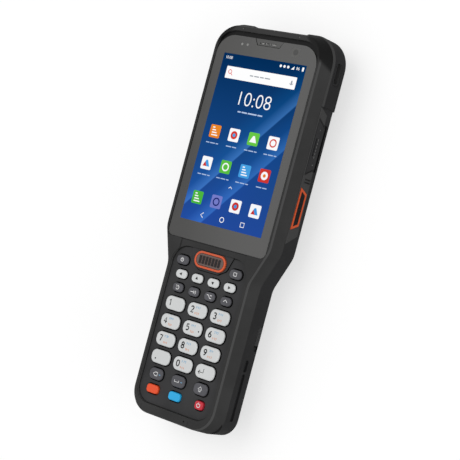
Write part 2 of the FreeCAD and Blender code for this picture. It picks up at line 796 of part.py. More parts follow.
panel_bottom = glass_bottom + 9.9
panel_low = s.belt_height + 2.4
for side, name in ((1, "right"), (-1, "left")):
    low, high = (head_half - 1.0, panel_x) if side > 0 else (-panel_x, -head_half + 1.0)
    pad(rear, "side_panel_" + name, "YZ", low, high, [[
        (panel_bottom, s.fold_height), (panel_bottom + 5.0, panel_low),
        (panel_top - 2.8, panel_low + 2.2), (panel_top, s.fold_height)]])
inner_top = bumper_y - s.corner_wall
belly_x = head_half - s.wall - s.belly_inset
cut(rear, "belly", "XY", head_floor, s.belt_height + 1.3, [both_sides([
    (belly_x, shoulder_top + 2.0, 3.0),
    (belly_x, inner_top - 0.5, 8.0)])])
corner_x = bumper_x - s.corner_wall
cut(rear, "head_cavity", "XY", s.belt_height + 1.2, s.fold_height + 1.0, [both_sides([
    (head_half - s.wall, shoulder_top + 2.0, 3.0),
    (head_half - s.wall, bumper_start - s.corner_wall - 3.0, 2.0),
    (corner_x, bumper_start - s.corner_wall - 1.0, 2.0),
    (corner_x, inner_top, 8.0)])])
cut(rear, "handle_cavity", "XY", roof_height, s.fold_height + 1.0, [both_sides([
    (handle_half - s.wall, case_bottom + s.wall, 6.0),
    (handle_half - s.wall, shoulder_bottom, s.shoulder_round - 2.0),
    (head_half - s.wall, shoulder_top, 8.0),
    (head_half - s.wall, shoulder_top + 6.0)])])
well_half = s.battery_block_width / 2 + s.battery_clearance
well_low = battery_bottom + s.battery_lip - s.battery_clearance
well_high = battery_top - s.battery_lip + s.battery_clearance
cut(rear, "battery_well", "XY", -1.0, well_height,
    [box_outline(-well_half, well_half, well_low, well_high)])
channel_in = well_half + 1.6
channel_out = handle_half - s.wall - 2.2
cut(rear, "side_channels", "XY", s.belt_height - 3.2, roof_height + 0.5, [
    box_outline(channel_in, channel_out, well_low + 2.0, battery_top - 8.0),
    box_outline(-channel_out, -channel_in, well_low + 2.0, battery_top - 8.0)])

# strap pockets behind the slots of the corner bumpers
slot_top = half_length - s.strap_slot_drop
slot_bottom = slot_top - s.strap_slot_length
slot_ceiling = s.fold_height - 3.4
pocket_in = bumper_x - s.strap_pocket_depth
for side, name in ((1, "right"), (-1, "left")):
    ends = sorted([side * (pocket_in - 1.6), side * (corner_x + 0.5)], key=lambda size: size.value)
    pad(rear, "strap_block_" + name, "XY", head_floor - 0.5, s.fold_height, [
        box_outline(ends[0], ends[1], slot_bottom - 1.6, slot_top + 1.6)])
for side, name in ((1, "right"), (-1, "left")):
    ends = sorted([side * pocket_in, side * (bumper_x + 0.5)], key=lambda size: size.value)
    cut(rear, "strap_pocket_" + name, "XY", 0.0, slot_ceiling, [
        box_outline(ends[0], ends[1], slot_bottom, slot_top, 0.8)])

pad(rear, "bosses", "XY", head_floor - 0.5, s.fold_height, [],
    [(x, y, s.boss_radius) for x, y in screw_points])
head_seat = s.back_height + 2.6
cut(rear, "screw_holes", "XY", -1.0, s.fold_height + 1.0, [], screw_circles)
cut(rear, "screw_head_seats", "XY", -1.0, head_seat, [],
    [(x, y, s.screw_head_radius + 0.3) for x, y in screw_points])

# port block inside the right wall, the recess of the cover and its hinge
cover_top = half_length - s.cover_drop
cover_bottom = cover_top - s.cover_length
cover_high = s.fold_height - s.under_fold
cover_low = cover_high - s.cover_height
hinge_x = panel_x + 0.1 - s.cover_thickness + 0.15
hinge_z = cover_low
hinge_top = cover_top - s.cover_slant + s.hinge_overhang
hinge_bottom = cover_bottom + s.cover_slant - s.hinge_overhang
port_x = panel_x - s.port_depth
pad(rear, "port_block", "XY", s.belt_height + 1.0, s.fold_height, [box_outline(
    port_x - 2.6, head_half - 1.0, cover_bottom - 2.5, cover_top + 2.5)])
gap = s.cover_gap
cut(rear, "cover_recess", "YZ", port_x, panel_x + 2.0, [[
    (cover_bottom - gap, cover_high + gap), (cover_bottom + s.cover_slant - gap, cover_low),
    (cover_top - s.cover_slant + gap, cover_low), (cover_top + gap, cover_high + gap)]])
sweep_radius = panel_x + 0.1 - hinge_x + 2.4 * gap
cut(rear, "hinge_recess", "XZ", hinge_bottom - gap, hinge_top + gap, [], [(hinge_x, hinge_z, sweep_radius)])
cut(rear, "hinge_pin_holes", "XZ", hinge_bottom - gap - s.hinge_pin_length - 0.2,
    hinge_top + gap + s.hinge_pin_length + 0.2, [],
    [(hinge_x, hinge_z, s.hinge_pin_radius + s.hinge_pin_clearance)])
socket_y = (cover_top + cover_bottom) / 2
socket_z = (cover_low + cover_high) / 2 + 0.3
socket_half = s.socket_width / 2
cut(rear, "socket_hole", "YZ", port_x - 6.0, port_x + 1.0, [box_outline(
    socket_y - socket_half - s.fit, socket_y + socket_half + s.fit,
    socket_z - s.socket_height / 2 - s.fit, socket_z + s.socket_height / 2 + s.fit, 1.5)])

# holes for the two side triggers
trigger_top = half_length - s.trigger_drop
trigger_bottom = trigger_top - s.trigger_length
trigger_high = s.fold_height - s.under_fold
trigger_low = trigger_high - s.trigger_height


def trigger_outline(grow, slant_grow=0.0):
    """The side trigger's trapezoid in Y and Z, grown by a margin."""
    return [(trigger_bottom - grow - slant_grow, trigger_high + grow),
            (trigger_bottom + s.trigger_slant - grow - slant_grow, trigger_low - grow),
            (trigger_top - s.trigger_slant + grow + slant_grow, trigger_low - grow),
            (trigger_top + grow + slant_grow, trigger_high + grow)]

pad(rear, "tick_ridges", "YZ", head_half - 0.5, panel_x + s.tick_height, [
    box_outline(trigger_top + s.tick_place - s.tick_width / 2 + s.tick_pitch * step,
                trigger_top + s.tick_place + s.tick_width / 2 + s.tick_pitch * step,
                trigger_low, trigger_high - 1.0)
    for step in (0, 1)])

latch_y = battery_top - s.latch_place
recess_bottom = latch_y - s.latch_length / 2 - s.latch_travel - s.latch_clearance
recess_top_y = latch_y + s.latch_length / 2 + s.latch_clearance
latch_low = s.belt_height - 0.7
latch_high = latch_low + s.latch_height
latch_in = handle_half - s.latch_depth
groove_top = battery_bottom + 2.5 + s.groove_length
groove_z = s.fold_height - 5.1
for side, name in ((1, "right"), (-1, "left")):
    span = [(head_half - 3.5, panel_x + 1.0), (latch_in, handle_half + 1.0),
            (handle_half - s.groove_depth, handle_half + 1.0), (channel_out - 0.5, latch_in + 0.5)]
    if side < 0:
        span = [(-high, -low) for low, high in span]
    cut(rear, "trigger_hole_" + name, "YZ", span[0][0], span[0][1], [trigger_outline(s.trigger_gap)])
    cut(rear, "latch_recess_" + name, "YZ", span[1][0], span[1][1], [box_outline(
        recess_bottom, recess_top_y, latch_low - s.latch_clearance, latch_high + s.latch_clearance, 1.9)])
    cut(rear, "latch_slot_" + name, "YZ", span[3][0], span[3][1], [box_outline(
        latch_y - 2.2 - s.latch_travel, latch_y + 2.2, latch_low + 0.8, latch_high - 0.8)])
    cut(rear, "groove_" + name, "YZ", span[2][0], span[2][1], [
        box_outline(groove_top - s.groove_length, groove_top - 7.0,
                    groove_z - s.groove_height / 2, groove_z + s.groove_height / 2, 1.1),
        box_outline(groove_top - 6.0, groove_top,
                    groove_z - s.groove_height / 2, groove_z + s.groove_height / 2, 1.1)])

# scan window seat in the end wall
window_half = s.window_width / 2
window_z = (s.belt_height + s.fold_height) / 2 - 0.6
window_low = window_z - s.window_height / 2
window_high = window_z + s.window_height / 2
window_back = case_top - s.window_recess
cut(rear, "window_recess", "XZ", window_back, case_top + 1.0,
    [box_outline(-window_half, window_half, window_low, window_high, 1.5)])
cut(rear, "window_opening", "XZ", inner_top - 1.0, window_back + 0.5, [box_outline(
    -window_half + s.window_frame, window_half - s.window_frame,
    window_low + s.window_frame, window_high - s.window_frame, 1.0)])

# dock contact seat, camera hole, speaker slots, board posts and bumper seats
contact_z = (s.belt_height + s.fold_height) / 2 - 2.0
contact_half = 3.5 * s.contact_pitch + s.contact_width / 2 + 1.2
cut(rear, "contact_seat", "XZ", case_bottom - 1.0, case_bottom + s.contact_depth, [box_outline(
    -contact_half, contact_half, contact_z - s.contact_height / 2 - 1.0,
    contact_z + s.contact_height / 2 + 1.0, 1.2)])
rear_camera_y = half_length - s.camera_drop
cut(rear, "camera_hole", "XY", s.back_height - 1.0, head_floor + 0.5, [],
    [(12.0, rear_camera_y, s.camera_radius + s.fit)])
speaker_y = shoulder_top + s.speaker_rise
cut(rear, "speaker_slots", "XY", s.back_height - 1.0, head_floor + 0.5, [
    box_outline(-14.0 - 5.5, -14.0 + 5.5, speaker_y + 2.2 * step - 0.5, speaker_y + 2.2 * step + 0.5)
    for step in (-2, -1, 0, 1, 2)])
posts = [(side * (s.board_half_width - 3.4), y) for side in (1, -1)
         for y in (board_bottom + 8.0, board_top - 4.0)]
pad(rear, "board_posts", "XY", head_floor - 0.5, s.board_height, [],
    [(x, y, s.post_radius) for x, y in posts])
cut(rear, "bumper_seats", "XY", s.belt_height - s.bumper_foot, s.fold_height + 1.0,
    [corner_strip(1), corner_strip(-1)])


# Corner bumpers: the strip outside the seat line, inside an envelope that stands proud of the case

envelope = new_body("bumper_envelope")
proud = s.bumper_proud
loft(envelope, "form", [
    (s.belt_height - s.bumper_foot, case_outline(s.bumper_foot / 1.5 - proud, s.bumper_foot / 2 - proud, 2.4)),
    (s.belt_height, case_outline(-proud, -proud, 0.0)),
    (s.fold_height - s.bumper_edge, case_outline(-proud, -proud, 0.0)),
    (s.fold_height, case_outline(s.bumper_edge / 2 - proud, s.bumper_edge / 2 - proud, 0.0))])
strip = new_body("bumper_strip")
pad(strip, "strip", "XY", s.belt_height - s.bumper_foot, s.fold_height, [corner_strip(1)])
cut(strip, "strap_slot", "YZ", bumper_x - 1.0, head_half + 9.0, [box_outline(
    slot_bottom, slot_top, slot_ceiling - s.strap_slot_height, slot_ceiling, 0.8)])
slot_floor = slot_ceiling - s.strap_slot_height
frame_out, frame_in = s.slot_frame + s.slot_frame_width, s.slot_frame
cut(strip, "slot_frame", "YZ", head_half + proud - s.slot_frame_depth, head_half + 9.0, [
    box_outline(slot_bottom - frame_out, slot_top + frame_out, slot_floor - frame_out, slot_ceiling + frame_out,
                0.8 + frame_out),
    box_outline(slot_bottom - frame_in, slot_top + frame_in, slot_floor - frame_in, slot_ceiling + frame_in,
                0.8 + frame_in)])
bumper_right = doc.addObject("Part::Common", "corner_bumper_right")
bumper_right.Label = "corner_bumper_right"
bumper_right.Base = strip
bumper_right.Tool = envelope
bumper_left = mirrored(bumper_right, "corner_bumper_left")


# Scan window and scan engine

window = new_body("scan_window")
pad(window, "pane", "XZ", window_back, window_back + s.window_thickness, [box_outline(
    -window_half + s.fit, window_half - s.fit, window_low + s.fit, window_high - s.fit, 1.4)])

engine = new_body("scan_engine")
engine_bottom = engine_top - s.engine_length
engine_half = s.engine_width / 2
pad(engine, "block", "XY", head_floor, head_floor + s.engine_height,
    [box_outline(-engine_half, engine_half, engine_bottom, engine_top - 2.0, 1.0)])
engine_z = head_floor + s.engine_height / 2 + 1.6
pad(engine, "imager", "XZ", engine_top - 2.5, engine_top, [], [(-3.0, engine_z, 3.4)])
pad(engine, "aimer", "XZ", engine_top - 2.5, engine_top - 0.6, [], [(6.5, engine_z, 1.8)])


# Main board with its cans, switches and chips

board = new_body("main_board")
board_top_face = s.board_height + s.board_thickness
pad(board, "board", "XY", s.board_height, board_top_face,
    [box_outline(-s.board_half_width, s.board_half_width, board_bottom, board_top, 2.0)])
pad(board, "cans", "XY", board_top_face - 0.1, board_top_face + 2.2, [
    box_outline(-19.0, 5.0, board_bottom + 28.0, board_top - 18.0, 0.8),
    box_outline(-20.0, -2.0, board_bottom + 8.0, board_bottom + 24.0, 0.8)])
pad(board, "chips", "XY", board_top_face - 0.1, board_top_face + 1.3, [
    box_outline(9.0, 20.0, board_bottom + 6.0, board_bottom + 17.0),
    box_outline(8.0, 16.0, board_top - 16.0, board_top - 8.0)])
trigger_y = (trigger_top + trigger_bottom) / 2
switch_x = head_half - s.wall - s.trigger_flange - 0.2 - s.trigger_travel - 0.2
pad(board, "switches", "XY", s.board_height, trigger_high - 0.4, [
    box_outline(s.board_half_width - 1.5, switch_x, trigger_y - 2.0, trigger_y + 2.0),
    box_outline(-switch_x, -s.board_half_width + 1.5, trigger_y - 2.0, trigger_y + 2.0)])


# Side triggers: an orange frame with ears behind the wall, and a ribbed black pad in it

trigger = new_body("trigger_right")
ear_out = head_half - s.wall - 0.2
trigger_face = panel_x + 0.2
pad(trigger, "frame", "YZ", ear_out - s.trigger_flange, trigger_face, [trigger_outline(0.0)])
pad(trigger, "ears", "YZ", ear_out - s.trigger_flange, ear_out, [[
    (trigger_bottom - 1.2, trigger_high - 0.3), (trigger_bottom + s.trigger_slant - 1.2, trigger_low + 0.3),
    (trigger_top - s.trigger_slant + 1.2, trigger_low + 0.3), (trigger_top + 1.2, trigger_high - 0.3)]])
pad_floor = trigger_face - 1.0
edge = s.trigger_edge
pad_plan = [(trigger_bottom + 1.5 * edge, trigger_high - edge),
            (trigger_bottom + s.trigger_slant + 0.8 * edge, trigger_low + edge),
            (trigger_top - s.trigger_slant - 0.8 * edge, trigger_low + edge),
            (trigger_top - 1.5 * edge, trigger_high - edge)]
cut(trigger, "pad_seat", "YZ", pad_floor, trigger_face + 1.0, [pad_plan])
trigger_left = mirrored(trigger, "trigger_left")

trigger_pad = new_body("trigger_pad_right")
pad(trigger_pad, "pad", "YZ", pad_floor, trigger_face - 0.15, [pad_plan])
rib_low = trigger_low + edge + 0.5
rib_high = trigger_high - edge - 0.5
pad(trigger_pad, "ribs", "YZ", trigger_face - 0.3, trigger_face + 0.15, [
    box_outline(trigger_y + 1.7 * step - 0.45, trigger_y + 1.7 * step + 0.45, rib_low, rib_high)
    for step in (-3, -2, -1, 0, 1, 2, 3)])
trigger_pad_left = mirrored(trigger_pad, "trigger_pad_left")


# Port cover with its hinge barrel and pins, and the socket behind it

cover = new_body("port_cover")
cover_face = panel_x + 0.1
pad(cover, "plate", "YZ", cover_face - s.cover_thickness, cover_face, [[
    (cover_bottom, cover_high), (cover_bottom + s.cover_slant, cover_low + 0.2),
    (cover_top - s.cover_slant, cover_low + 0.2), (cover_top, cover_high)]])
pad(cover, "barrel", "XZ", hinge_bottom, hinge_top, [], [(hinge_x, hinge_z, s.hinge_radius)])
pad(cover, "pins", "XZ", hinge_bottom - gap - s.hinge_pin_length, hinge_top + gap + s.hinge_pin_length, [],
    [(hinge_x, hinge_z, s.hinge_pin_radius)])
cut(cover, "nail_groove", "YZ", cover_face - 0.5, cover_face + 1.0, [box_outline(
    socket_y - 4.5, socket_y + 4.5, cover_high - 2.2, cover_high - 1.4)])

socket = new_body("port_socket")
pad(socket, "shell", "YZ", port_x - s.socket_length, port_x + 0.4, [box_outline(
    socket_y - socket_half, socket_y + socket_half,
    socket_z - s.socket_height / 2, socket_z + s.socket_height / 2, 1.4)])
cut(socket, "mouth", "YZ", port_x - 4.4, port_x + 1.0, [box_outline(
    socket_y - socket_half + 0.5, socket_y + socket_half - 0.5,
    socket_z - s.socket_height / 2 + 0.5, socket_z + s.socket_height / 2 - 0.5, 1.0)])


# Battery pack: a block in the well and a shell that makes the handle's back

battery = new_body("battery_pack")
shell_half = handle_half - s.back_inset - 0.5
loft(battery, "shell", [
    (0.0, box_outline(-shell_half + s.battery_face_inset, shell_half - s.battery_face_inset,
                      battery_bottom + 1.2, battery_top - 1.2, 3.0)),
    (s.battery_shell_height, box_outline(-shell_half, shell_half, battery_bottom, battery_top, 2.0))])
block_half = s.battery_block_width / 2
pad(battery, "block", "XY", s.battery_shell_height - 0.5, s.battery_block_height, [box_outline(
    -block_half, block_half, battery_bottom + s.battery_lip, battery_top - s.battery_lip, 1.5)])
cut(battery, "grip_lines", "XY", -0.5, 0.6, [
    box_outline(-12.0, 12.0, battery_top - 12.0 - 3.0 * step, battery_top - 10.8 - 3.0 * step)
    for step in range(6)])


# Battery latches: a ribbed thumb pad, a neck through the wall and a keeper behind it

latch = new_body("battery_latch_right")
latch_half = s.latch_length / 2
pad(latch, "thumb_pad", "YZ", latch_in + 0.1, handle_half - 0.45, [box_outline(
    latch_y - latch_half, latch_y + latch_half, latch_low, latch_high, 1.7)])
pad(latch, "neck", "YZ", channel_out - 0.3, latch_in + 0.3, [box_outline(
    latch_y - 2.0, latch_y + 2.0, latch_low + 1.0, latch_high - 1.0)])
pad(latch, "keeper", "YZ", channel_out - 1.2, channel_out - 0.2, [box_outline(
    latch_y - 3.4, latch_y + 3.4, latch_low + 0.3, latch_high - 0.3)])
pad(latch, "ribs", "YZ", handle_half - 0.6, handle_half - 0.1, [
    box_outline(latch_y + 1.5 * step - 0.35, latch_y + 1.5 * step + 0.35, latch_low + 0.7, latch_high - 0.5)
    for step in (-2.5, -1.5, -0.5, 0.5, 1.5, 2.5)])
latch_left = mirrored(latch, "battery_latch_left")


# Dock contacts, rear camera, speaker and screws

contacts = new_body("dock_contacts")
pad(contacts, "pads", "XZ", case_bottom + 0.4, case_bottom + s.contact_depth, [box_outline(
    (place - 3.5) * s.contact_pitch - s.contact_width / 2, (place - 3.5) * s.contact_pitch + s.contact_width / 2,
    contact_z - s.contact_height / 2, contact_z + s.contact_height / 2) for place in range(8)])

rear_camera = new_body("rear_camera")
camera_block_half = s.camera_block / 2
pad(rear_camera, "barrel", "XY", s.back_height + 0.4, head_floor + 0.2, [],
    [(12.0, rear_camera_y, s.camera_radius)])
pad(rear_camera, "block", "XY", head_floor, s.board_height - 0.3, [box_outline(
    12.0 - camera_block_half, 12.0 + camera_block_half,
    rear_camera_y - camera_block_half, rear_camera_y + camera_block_half, 0.6)])

speaker = new_body("speaker")
pad(speaker, "basket", "XY", head_floor, head_floor + s.speaker_height, [],
    [(-14.0, speaker_y, s.speaker_radius)])
pad(speaker, "magnet", "XY", head_floor + s.speaker_height - 0.1, head_floor + s.speaker_height + 1.6, [],
    [(-14.0, speaker_y, s.speaker_radius * 0.6)])

screws = new_body("housing_screws")
pad(screws, "heads", "XY", head_seat - s.screw_head_height, head_seat, [],
    [(x, y, s.screw_head_radius) for x, y in screw_points])
pad(screws, "shanks", "XY", head_seat - 0.2, s.fold_height + s.screw_bite, [],
    [(x, y, s.screw_radius) for x, y in screw_points])

doc.recompute()


# Rounded upper edges of the keys, once their caps are known

def edges_at_height(shape, height):
    """Names of the edges that lie wholly at one height."""
    names = []
    for number, part_edge in enumerate(shape.Edges, start=1):
        box = part_edge.BoundBox
        if abs(box.ZMin - height) < 1e-4 and abs(box.ZMax - height) < 1e-4:
            names.append("Edge%d" % number)
    return names


for body, cap in zip(key_bodies, key_caps):
    if body.Label == "key_scan":
        continue
    rounding = body.newObject("PartDesign::Fillet", body.Name + "_edge_round")
    rounding.Base = (cap, edges_at_height(cap.Shape, key_face.value))
    rounding.setExpression("Radius", s.key_edge_round.formula)
doc.recompute()


# Checks and files

nodes = [front, seal, glass, gasket, grille, display, front_camera, plate, ring, membrane, keypad_board,
         rear, bumper_right, bumper_left, window, engine, board, trigger, trigger_left, trigger_pad,
         trigger_pad_left, cover, socket, battery, latch, latch_left, contacts, rear_camera, speaker,
         screws] + key_bodies

faults = [o.Name for o in doc.Objects if "Invalid" in o.State or "Error" in o.State]
for feature in cuts:
    if feature.Shape.Volume > feature.BaseFeature.Shape.Volume - 1e-3:
        faults.append("%s cuts nothing" % feature.Name)
for node in nodes:
    if node.Shape.isNull() or not node.Shape.isValid() or not node.Shape.Solids:
        faults.append("%s has no sound shape" % node.Label)
if faults:
    raise RuntimeError("; ".join(faults))

os.makedirs("parts", exist_ok=True)
for node in nodes:
    node.Shape.exportStep("parts/%s.step" % node.Label)
    box = node.Shape.BoundBox
    print("%-22s %2d solids  %9.1f mm3  x %.1f..%.1f  y %.1f..%.1f  z %.1f..%.1f" % (
        node.Label, len(node.Shape.Solids), node.Shape.Volume,
        box.XMin, box.XMax, box.YMin, box.YMax, box.ZMin, box.ZMax))
print(len(nodes), "nodes")
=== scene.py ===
import bpy
import numpy as np
from mathutils import Matrix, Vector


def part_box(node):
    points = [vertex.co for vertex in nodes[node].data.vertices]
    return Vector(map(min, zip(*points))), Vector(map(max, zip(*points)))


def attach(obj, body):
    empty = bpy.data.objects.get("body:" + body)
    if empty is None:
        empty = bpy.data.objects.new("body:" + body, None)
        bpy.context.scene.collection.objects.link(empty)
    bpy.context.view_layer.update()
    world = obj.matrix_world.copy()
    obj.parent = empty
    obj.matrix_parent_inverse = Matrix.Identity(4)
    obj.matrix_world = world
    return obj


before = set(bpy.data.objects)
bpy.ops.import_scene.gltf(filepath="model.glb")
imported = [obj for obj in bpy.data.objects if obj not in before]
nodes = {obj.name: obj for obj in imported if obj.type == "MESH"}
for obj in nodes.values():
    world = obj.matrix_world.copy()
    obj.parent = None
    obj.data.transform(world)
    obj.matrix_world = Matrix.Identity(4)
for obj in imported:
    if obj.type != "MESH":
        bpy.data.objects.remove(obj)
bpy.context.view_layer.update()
scene = bpy.context.scene
scene.view_settings.view_transform = "Standard"


# Camera, floor and studio
# The terminal lies on its back on a pale table, seen from above its right-hand side.
# A white sky gives even light and a wide panel overhead gives the soft shadow.

sight = bpy.data.cameras.new("sight")
sight.lens = 112.675
sight.sensor_width = 36.0
sight.clip_start = 0.01
sight.clip_end = 20.0
eye = bpy.data.objects.new("eye", sight)
scene.collection.objects.link(eye)
eye.matrix_world = Matrix(((0.77079502, -0.20184437, 0.60426309, 0.434286),
                           (0.25930989, 0.96575955, -0.00817798, -0.007659),
                           (-0.58192217, 0.16299494, 0.79674289, 0.592859),
                           (0.0, 0.0, 0.0, 1.0)))
scene.camera = eye

sky = bpy.data.worlds.new("sky")
sky.use_nodes = True
scene.world = sky
sky_nodes = sky.node_tree.nodes
sky_light = sky_nodes["Background"]
sky_light.inputs["Color"].default_value = (1.0, 1.0, 1.0, 1.0)
sky_rays = sky_nodes.new("ShaderNodeLightPath")
seen = sky_rays.outputs["Is Camera Ray"]
for kind in ("Is Transmission Ray", "Is Glossy Ray"):
    either_ray = sky_nodes.new("ShaderNodeMath")
    either_ray.operation = "MAXIMUM"
    sky.node_tree.links.new(seen, either_ray.inputs[0])
    sky.node_tree.links.new(sky_rays.outputs[kind], either_ray.inputs[1])
    seen = either_ray.outputs[0]
sky_level = sky_nodes.new("ShaderNodeMapRange")
sky_level.inputs["To Min"].default_value = 0.55
sky_level.inputs["To Max"].default_value = 1.0
sky.node_tree.links.new(seen, sky_level.inputs["Value"])
sky.node_tree.links.new(sky_level.outputs[0], sky_light.inputs["Strength"])


def hang_panel(name, place, aim, width, power):
    """A square soft light at a place, facing the point that it aims at."""
    lamp = bpy.data.lights.new(name, "AREA")
    lamp.size = width
    lamp.energy = power
    hung = bpy.data.objects.new(name, lamp)
    scene.collection.objects.link(hung)
    back = np.array(place) - np.array(aim)
    back = back / np.linalg.norm(back)
    side = np.cross((0.0, 1.0, 0.0), back)
    side = side / np.linalg.norm(side)
    turn = np.eye(4)
    turn[:3, 0], turn[:3, 1], turn[:3, 2], turn[:3, 3] = side, np.cross(back, side), back, place
    hung.matrix_world = Matrix(turn.tolist())


hang_panel("overhead_panel", (-0.3, 0.3, 1.1), (0.0, 0.0, 0.0), 1.0, 3.6)
hang_panel("right_panel", (1.15, -0.15, 0.45), (0.0, 0.0, 0.02), 0.9, 4.6)


class Wire:
    """One output socket of a material; sums written on wires add Math nodes to its tree."""

    def __init__(self, socket):
        self.socket = socket
        self.tree = socket.id_data

    def node(self, kind, settings=None, values=None, out=0):
        """Any node: its settings first, then the numbers or wires of its inputs."""
        fresh = self.tree.nodes.new("ShaderNode" + kind)
        for key, value in (settings or {}).items():
            setattr(fresh, key, value)
        for key, value in (values or {}).items():
            if isinstance(value, Wire):
                self.tree.links.new(value.socket, fresh.inputs[key])
            else:
                fresh.inputs[key].default_value = value
        return Wire(fresh.outputs[out])

    def math(self, operation, first, second=0.0):
        return self.node("Math", {"operation": operation}, {0: first, 1: second})

    def __add__(self, other):
        return self.math("ADD", self, other)

    def __sub__(self, other):
        return self.math("SUBTRACT", self, other)

    def __mul__(self, other):
        return self.math("MULTIPLY", self, other)

    def __truediv__(self, other):
        return self.math("DIVIDE", self, other)

    def __gt__(self, other):
        return self.math("GREATER_THAN", self, other)

    def __lt__(self, other):
        return self.math("LESS_THAN", self, other)

    def __radd__(self, other):
        return self.math("ADD", other, self)

    def __rmul__(self, other):
        return self.math("MULTIPLY", other, self)

    def size(self):
        return self.math("ABSOLUTE", self)

    def either(self, other):
        return self.math("MAXIMUM", self, other)

    def ramp(self, *stops):
        """Runs from colour to colour, each given with its place from 0 to 1."""
        fresh = self.tree.nodes.new("ShaderNodeValToRGB")
        marks = fresh.color_ramp.elements
        marks.remove(marks[1])
        marks[0].position, marks[0].color = stops[0][0], stops[0][1] + (1.0,)
        for place, colour in stops[1:]:
            marks.new(place).color = colour + (1.0,)
        self.tree.links.new(self.socket, fresh.inputs[0])
        return Wire(fresh.outputs[0])

    def axis(self, number):
        """One of the three numbers of a vector."""
        return self.node("SeparateXYZ", None, {0: self}, number)


def linear(code):
    """A colour as light, from its six-figure web code."""
    shades = [int(code[i:i + 2], 16) / 255.0 for i in (0, 2, 4)]
    return tuple(v / 12.92 if v <= 0.04045 else ((v + 0.055) / 1.055) ** 2.4 for v in shades)


def new_finish(name, roughness, specular, **constants):
    """A material with its shader's even values set, and the wire of places on the piece."""
    material = bpy.data.materials.new(name)
    material.use_nodes = True
    shader = material.node_tree.nodes["Principled BSDF"]
    shader.inputs["Roughness"].default_value = roughness
    shader.inputs["Specular IOR Level"].default_value = specular
    for key, value in constants.items():
        shader.inputs[key.replace("_", " ").title()].default_value = value
    where = Wire(material.node_tree.nodes.new("ShaderNodeTexCoord").outputs["Object"])
    return material, shader, where


def feed(shader, **wires):
    """Joins wires to the shader's inputs of those names."""
    for key, wire in wires.items():
        wire.tree.links.new(wire.socket, shader.inputs[key.replace("_", " ").title()])


def blend_colours(mask, low, high):
    """low where the mask is 0 and high where it is 1."""
    as_colour = [c + (1.0,) if isinstance(c, tuple) else c for c in (low, high)]
    return mask.node("Mix", {"data_type": "RGBA"}, {0: mask, 6: as_colour[0], 7: as_colour[1]}, 2)


def speckle(where, per_metre, detail=2.0):
    """Even noise from 0 to 1, with its cells per metre."""
    return where.node("TexNoise", None, {"Vector": where, "Scale": per_metre, "Detail": detail})


def moulded(name, code, roughness=0.55, specular=0.2, grain=0.25, lift=0.12):
    """Moulded plastic: one colour with a slow drift of tone, and the mould's fine grain as bumps."""
    material, shader, where = new_finish(name, roughness, specular)
    colour = linear(code)
    paler = tuple(v * (1.0 + lift) + 0.002 for v in colour)
    darker = tuple(v * (1.0 - lift) for v in colour)
    drift = speckle(where, 45.0, 3.0)
    tone = drift.ramp((0.35, darker), (0.65, paler))
    fine = speckle(where, 3200.0)
    bump = fine.node("Bump", None, {"Strength": grain, "Distance": 0.00004, "Height": fine})
    feed(shader, base_color=tone, normal=bump, roughness=roughness - 0.05 + 0.1 * fine)
    return material, shader, where, tone


def facing(material):
    """The wire of the way that each spot of the piece faces."""
    return Wire(material.node_tree.nodes.new("ShaderNodeNewGeometry").outputs["Normal"])


def dress(node, material):
    """Gives a node of the frame its finish."""
    piece = nodes[node]
    if not piece.data.materials:
        piece.data.materials.append(material)
    for spot in piece.material_slots:
        spot.material = material


# Front housing
# A moulded shell of black polycarbonate with a fine spark grain.
# Its narrow upper rim carries a painted highlight, a little paler than the flared walls, and both carry
# painted shade, near-black towards the corners of the scanner end.

shell_finish, shell_shader, shell_where, shell_tone = moulded("moulded_shell", "343434", specular=0.12)
aside, along, height = shell_where.axis(0).size(), shell_where.axis(1), shell_where.axis(2)
off_bridge = (aside > 0.026).either((along + 0.012).size() > 0.006)
# painted highlight: the rim's chamfer, away from the bridge, is coloured paler than the walls
rim_highlight_mask = (height > 0.0282) * (height < 0.02935) * off_bridge
# painted shade: the shell is coloured near-black towards the corners of the scanner end
toward_corner = aside + along
corner_shade_mask = toward_corner.node("MapRange", None, {0: toward_corner, 1: 0.1195, 2: 0.1215, 3: 0.0, 4: 1.0})
rim_highlight_tone = blend_colours(rim_highlight_mask, shell_tone, linear("4c4c4c"))
feed(shell_shader, base_color=blend_colours(corner_shade_mask, rim_highlight_tone, linear("131313")))
dress("front_housing", shell_finish)


# Rear housing
# The same plastic in a blacker grain, with a raised side panel that is smoother and painted paler as a
# highlight for the light it catches, and painted shade, near-black, in the recesses round the battery
# latches.

rear_finish, rear_shader, rear_where, rear_tone = moulded("moulded_back", "262627", 0.6)
aside, along, height = rear_where.axis(0).size(), rear_where.axis(1), rear_where.axis(2)
# painted highlight: the raised side panel is coloured paler than the rest of the back
lit_panel_mask = (aside > 0.03632) * (height > 0.0148)
latch_low, latch_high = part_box("battery_latch_right")
latch_gap, latch_travel = 0.0009, 0.003
# painted shade: the latches' recesses and their sliding room are coloured near-black
recess_shade_mask = ((aside > latch_low.x) * (aside < latch_high.x - 0.0002)
               * (along > latch_low.y - latch_gap) * (along < latch_high.y + latch_travel)
               * (height > latch_low.z - latch_gap) * (height < latch_high.z + latch_gap))
panel_highlight_tone = blend_colours(lit_panel_mask, rear_tone, linear("414141"))
feed(rear_shader, base_color=blend_colours(recess_shade_mask, panel_highlight_tone, linear("080808")))
dress("rear_housing", rear_finish)


# Corner bumpers
# Soft black rubber over both corners of the scanner end, with a painted highlight, greyer, on the faces that
# look upward.

bumper_finish, bumper_shader, _, bumper_tone = moulded("bumper_rubber", "262627", 0.7, 0.15, 0.35)
# painted highlight: faces that look upward are coloured greyer
upward_highlight_mask = facing(bumper_finish).axis(2) > 0.35
feed(bumper_shader, base_color=blend_colours(upward_highlight_mask, bumper_tone, linear("404040")))
dress("corner_bumper_right", bumper_finish)
dress("corner_bumper_left", bumper_finish)


# Seals
# Thin rings of black silicone, between the housings and round the glass.

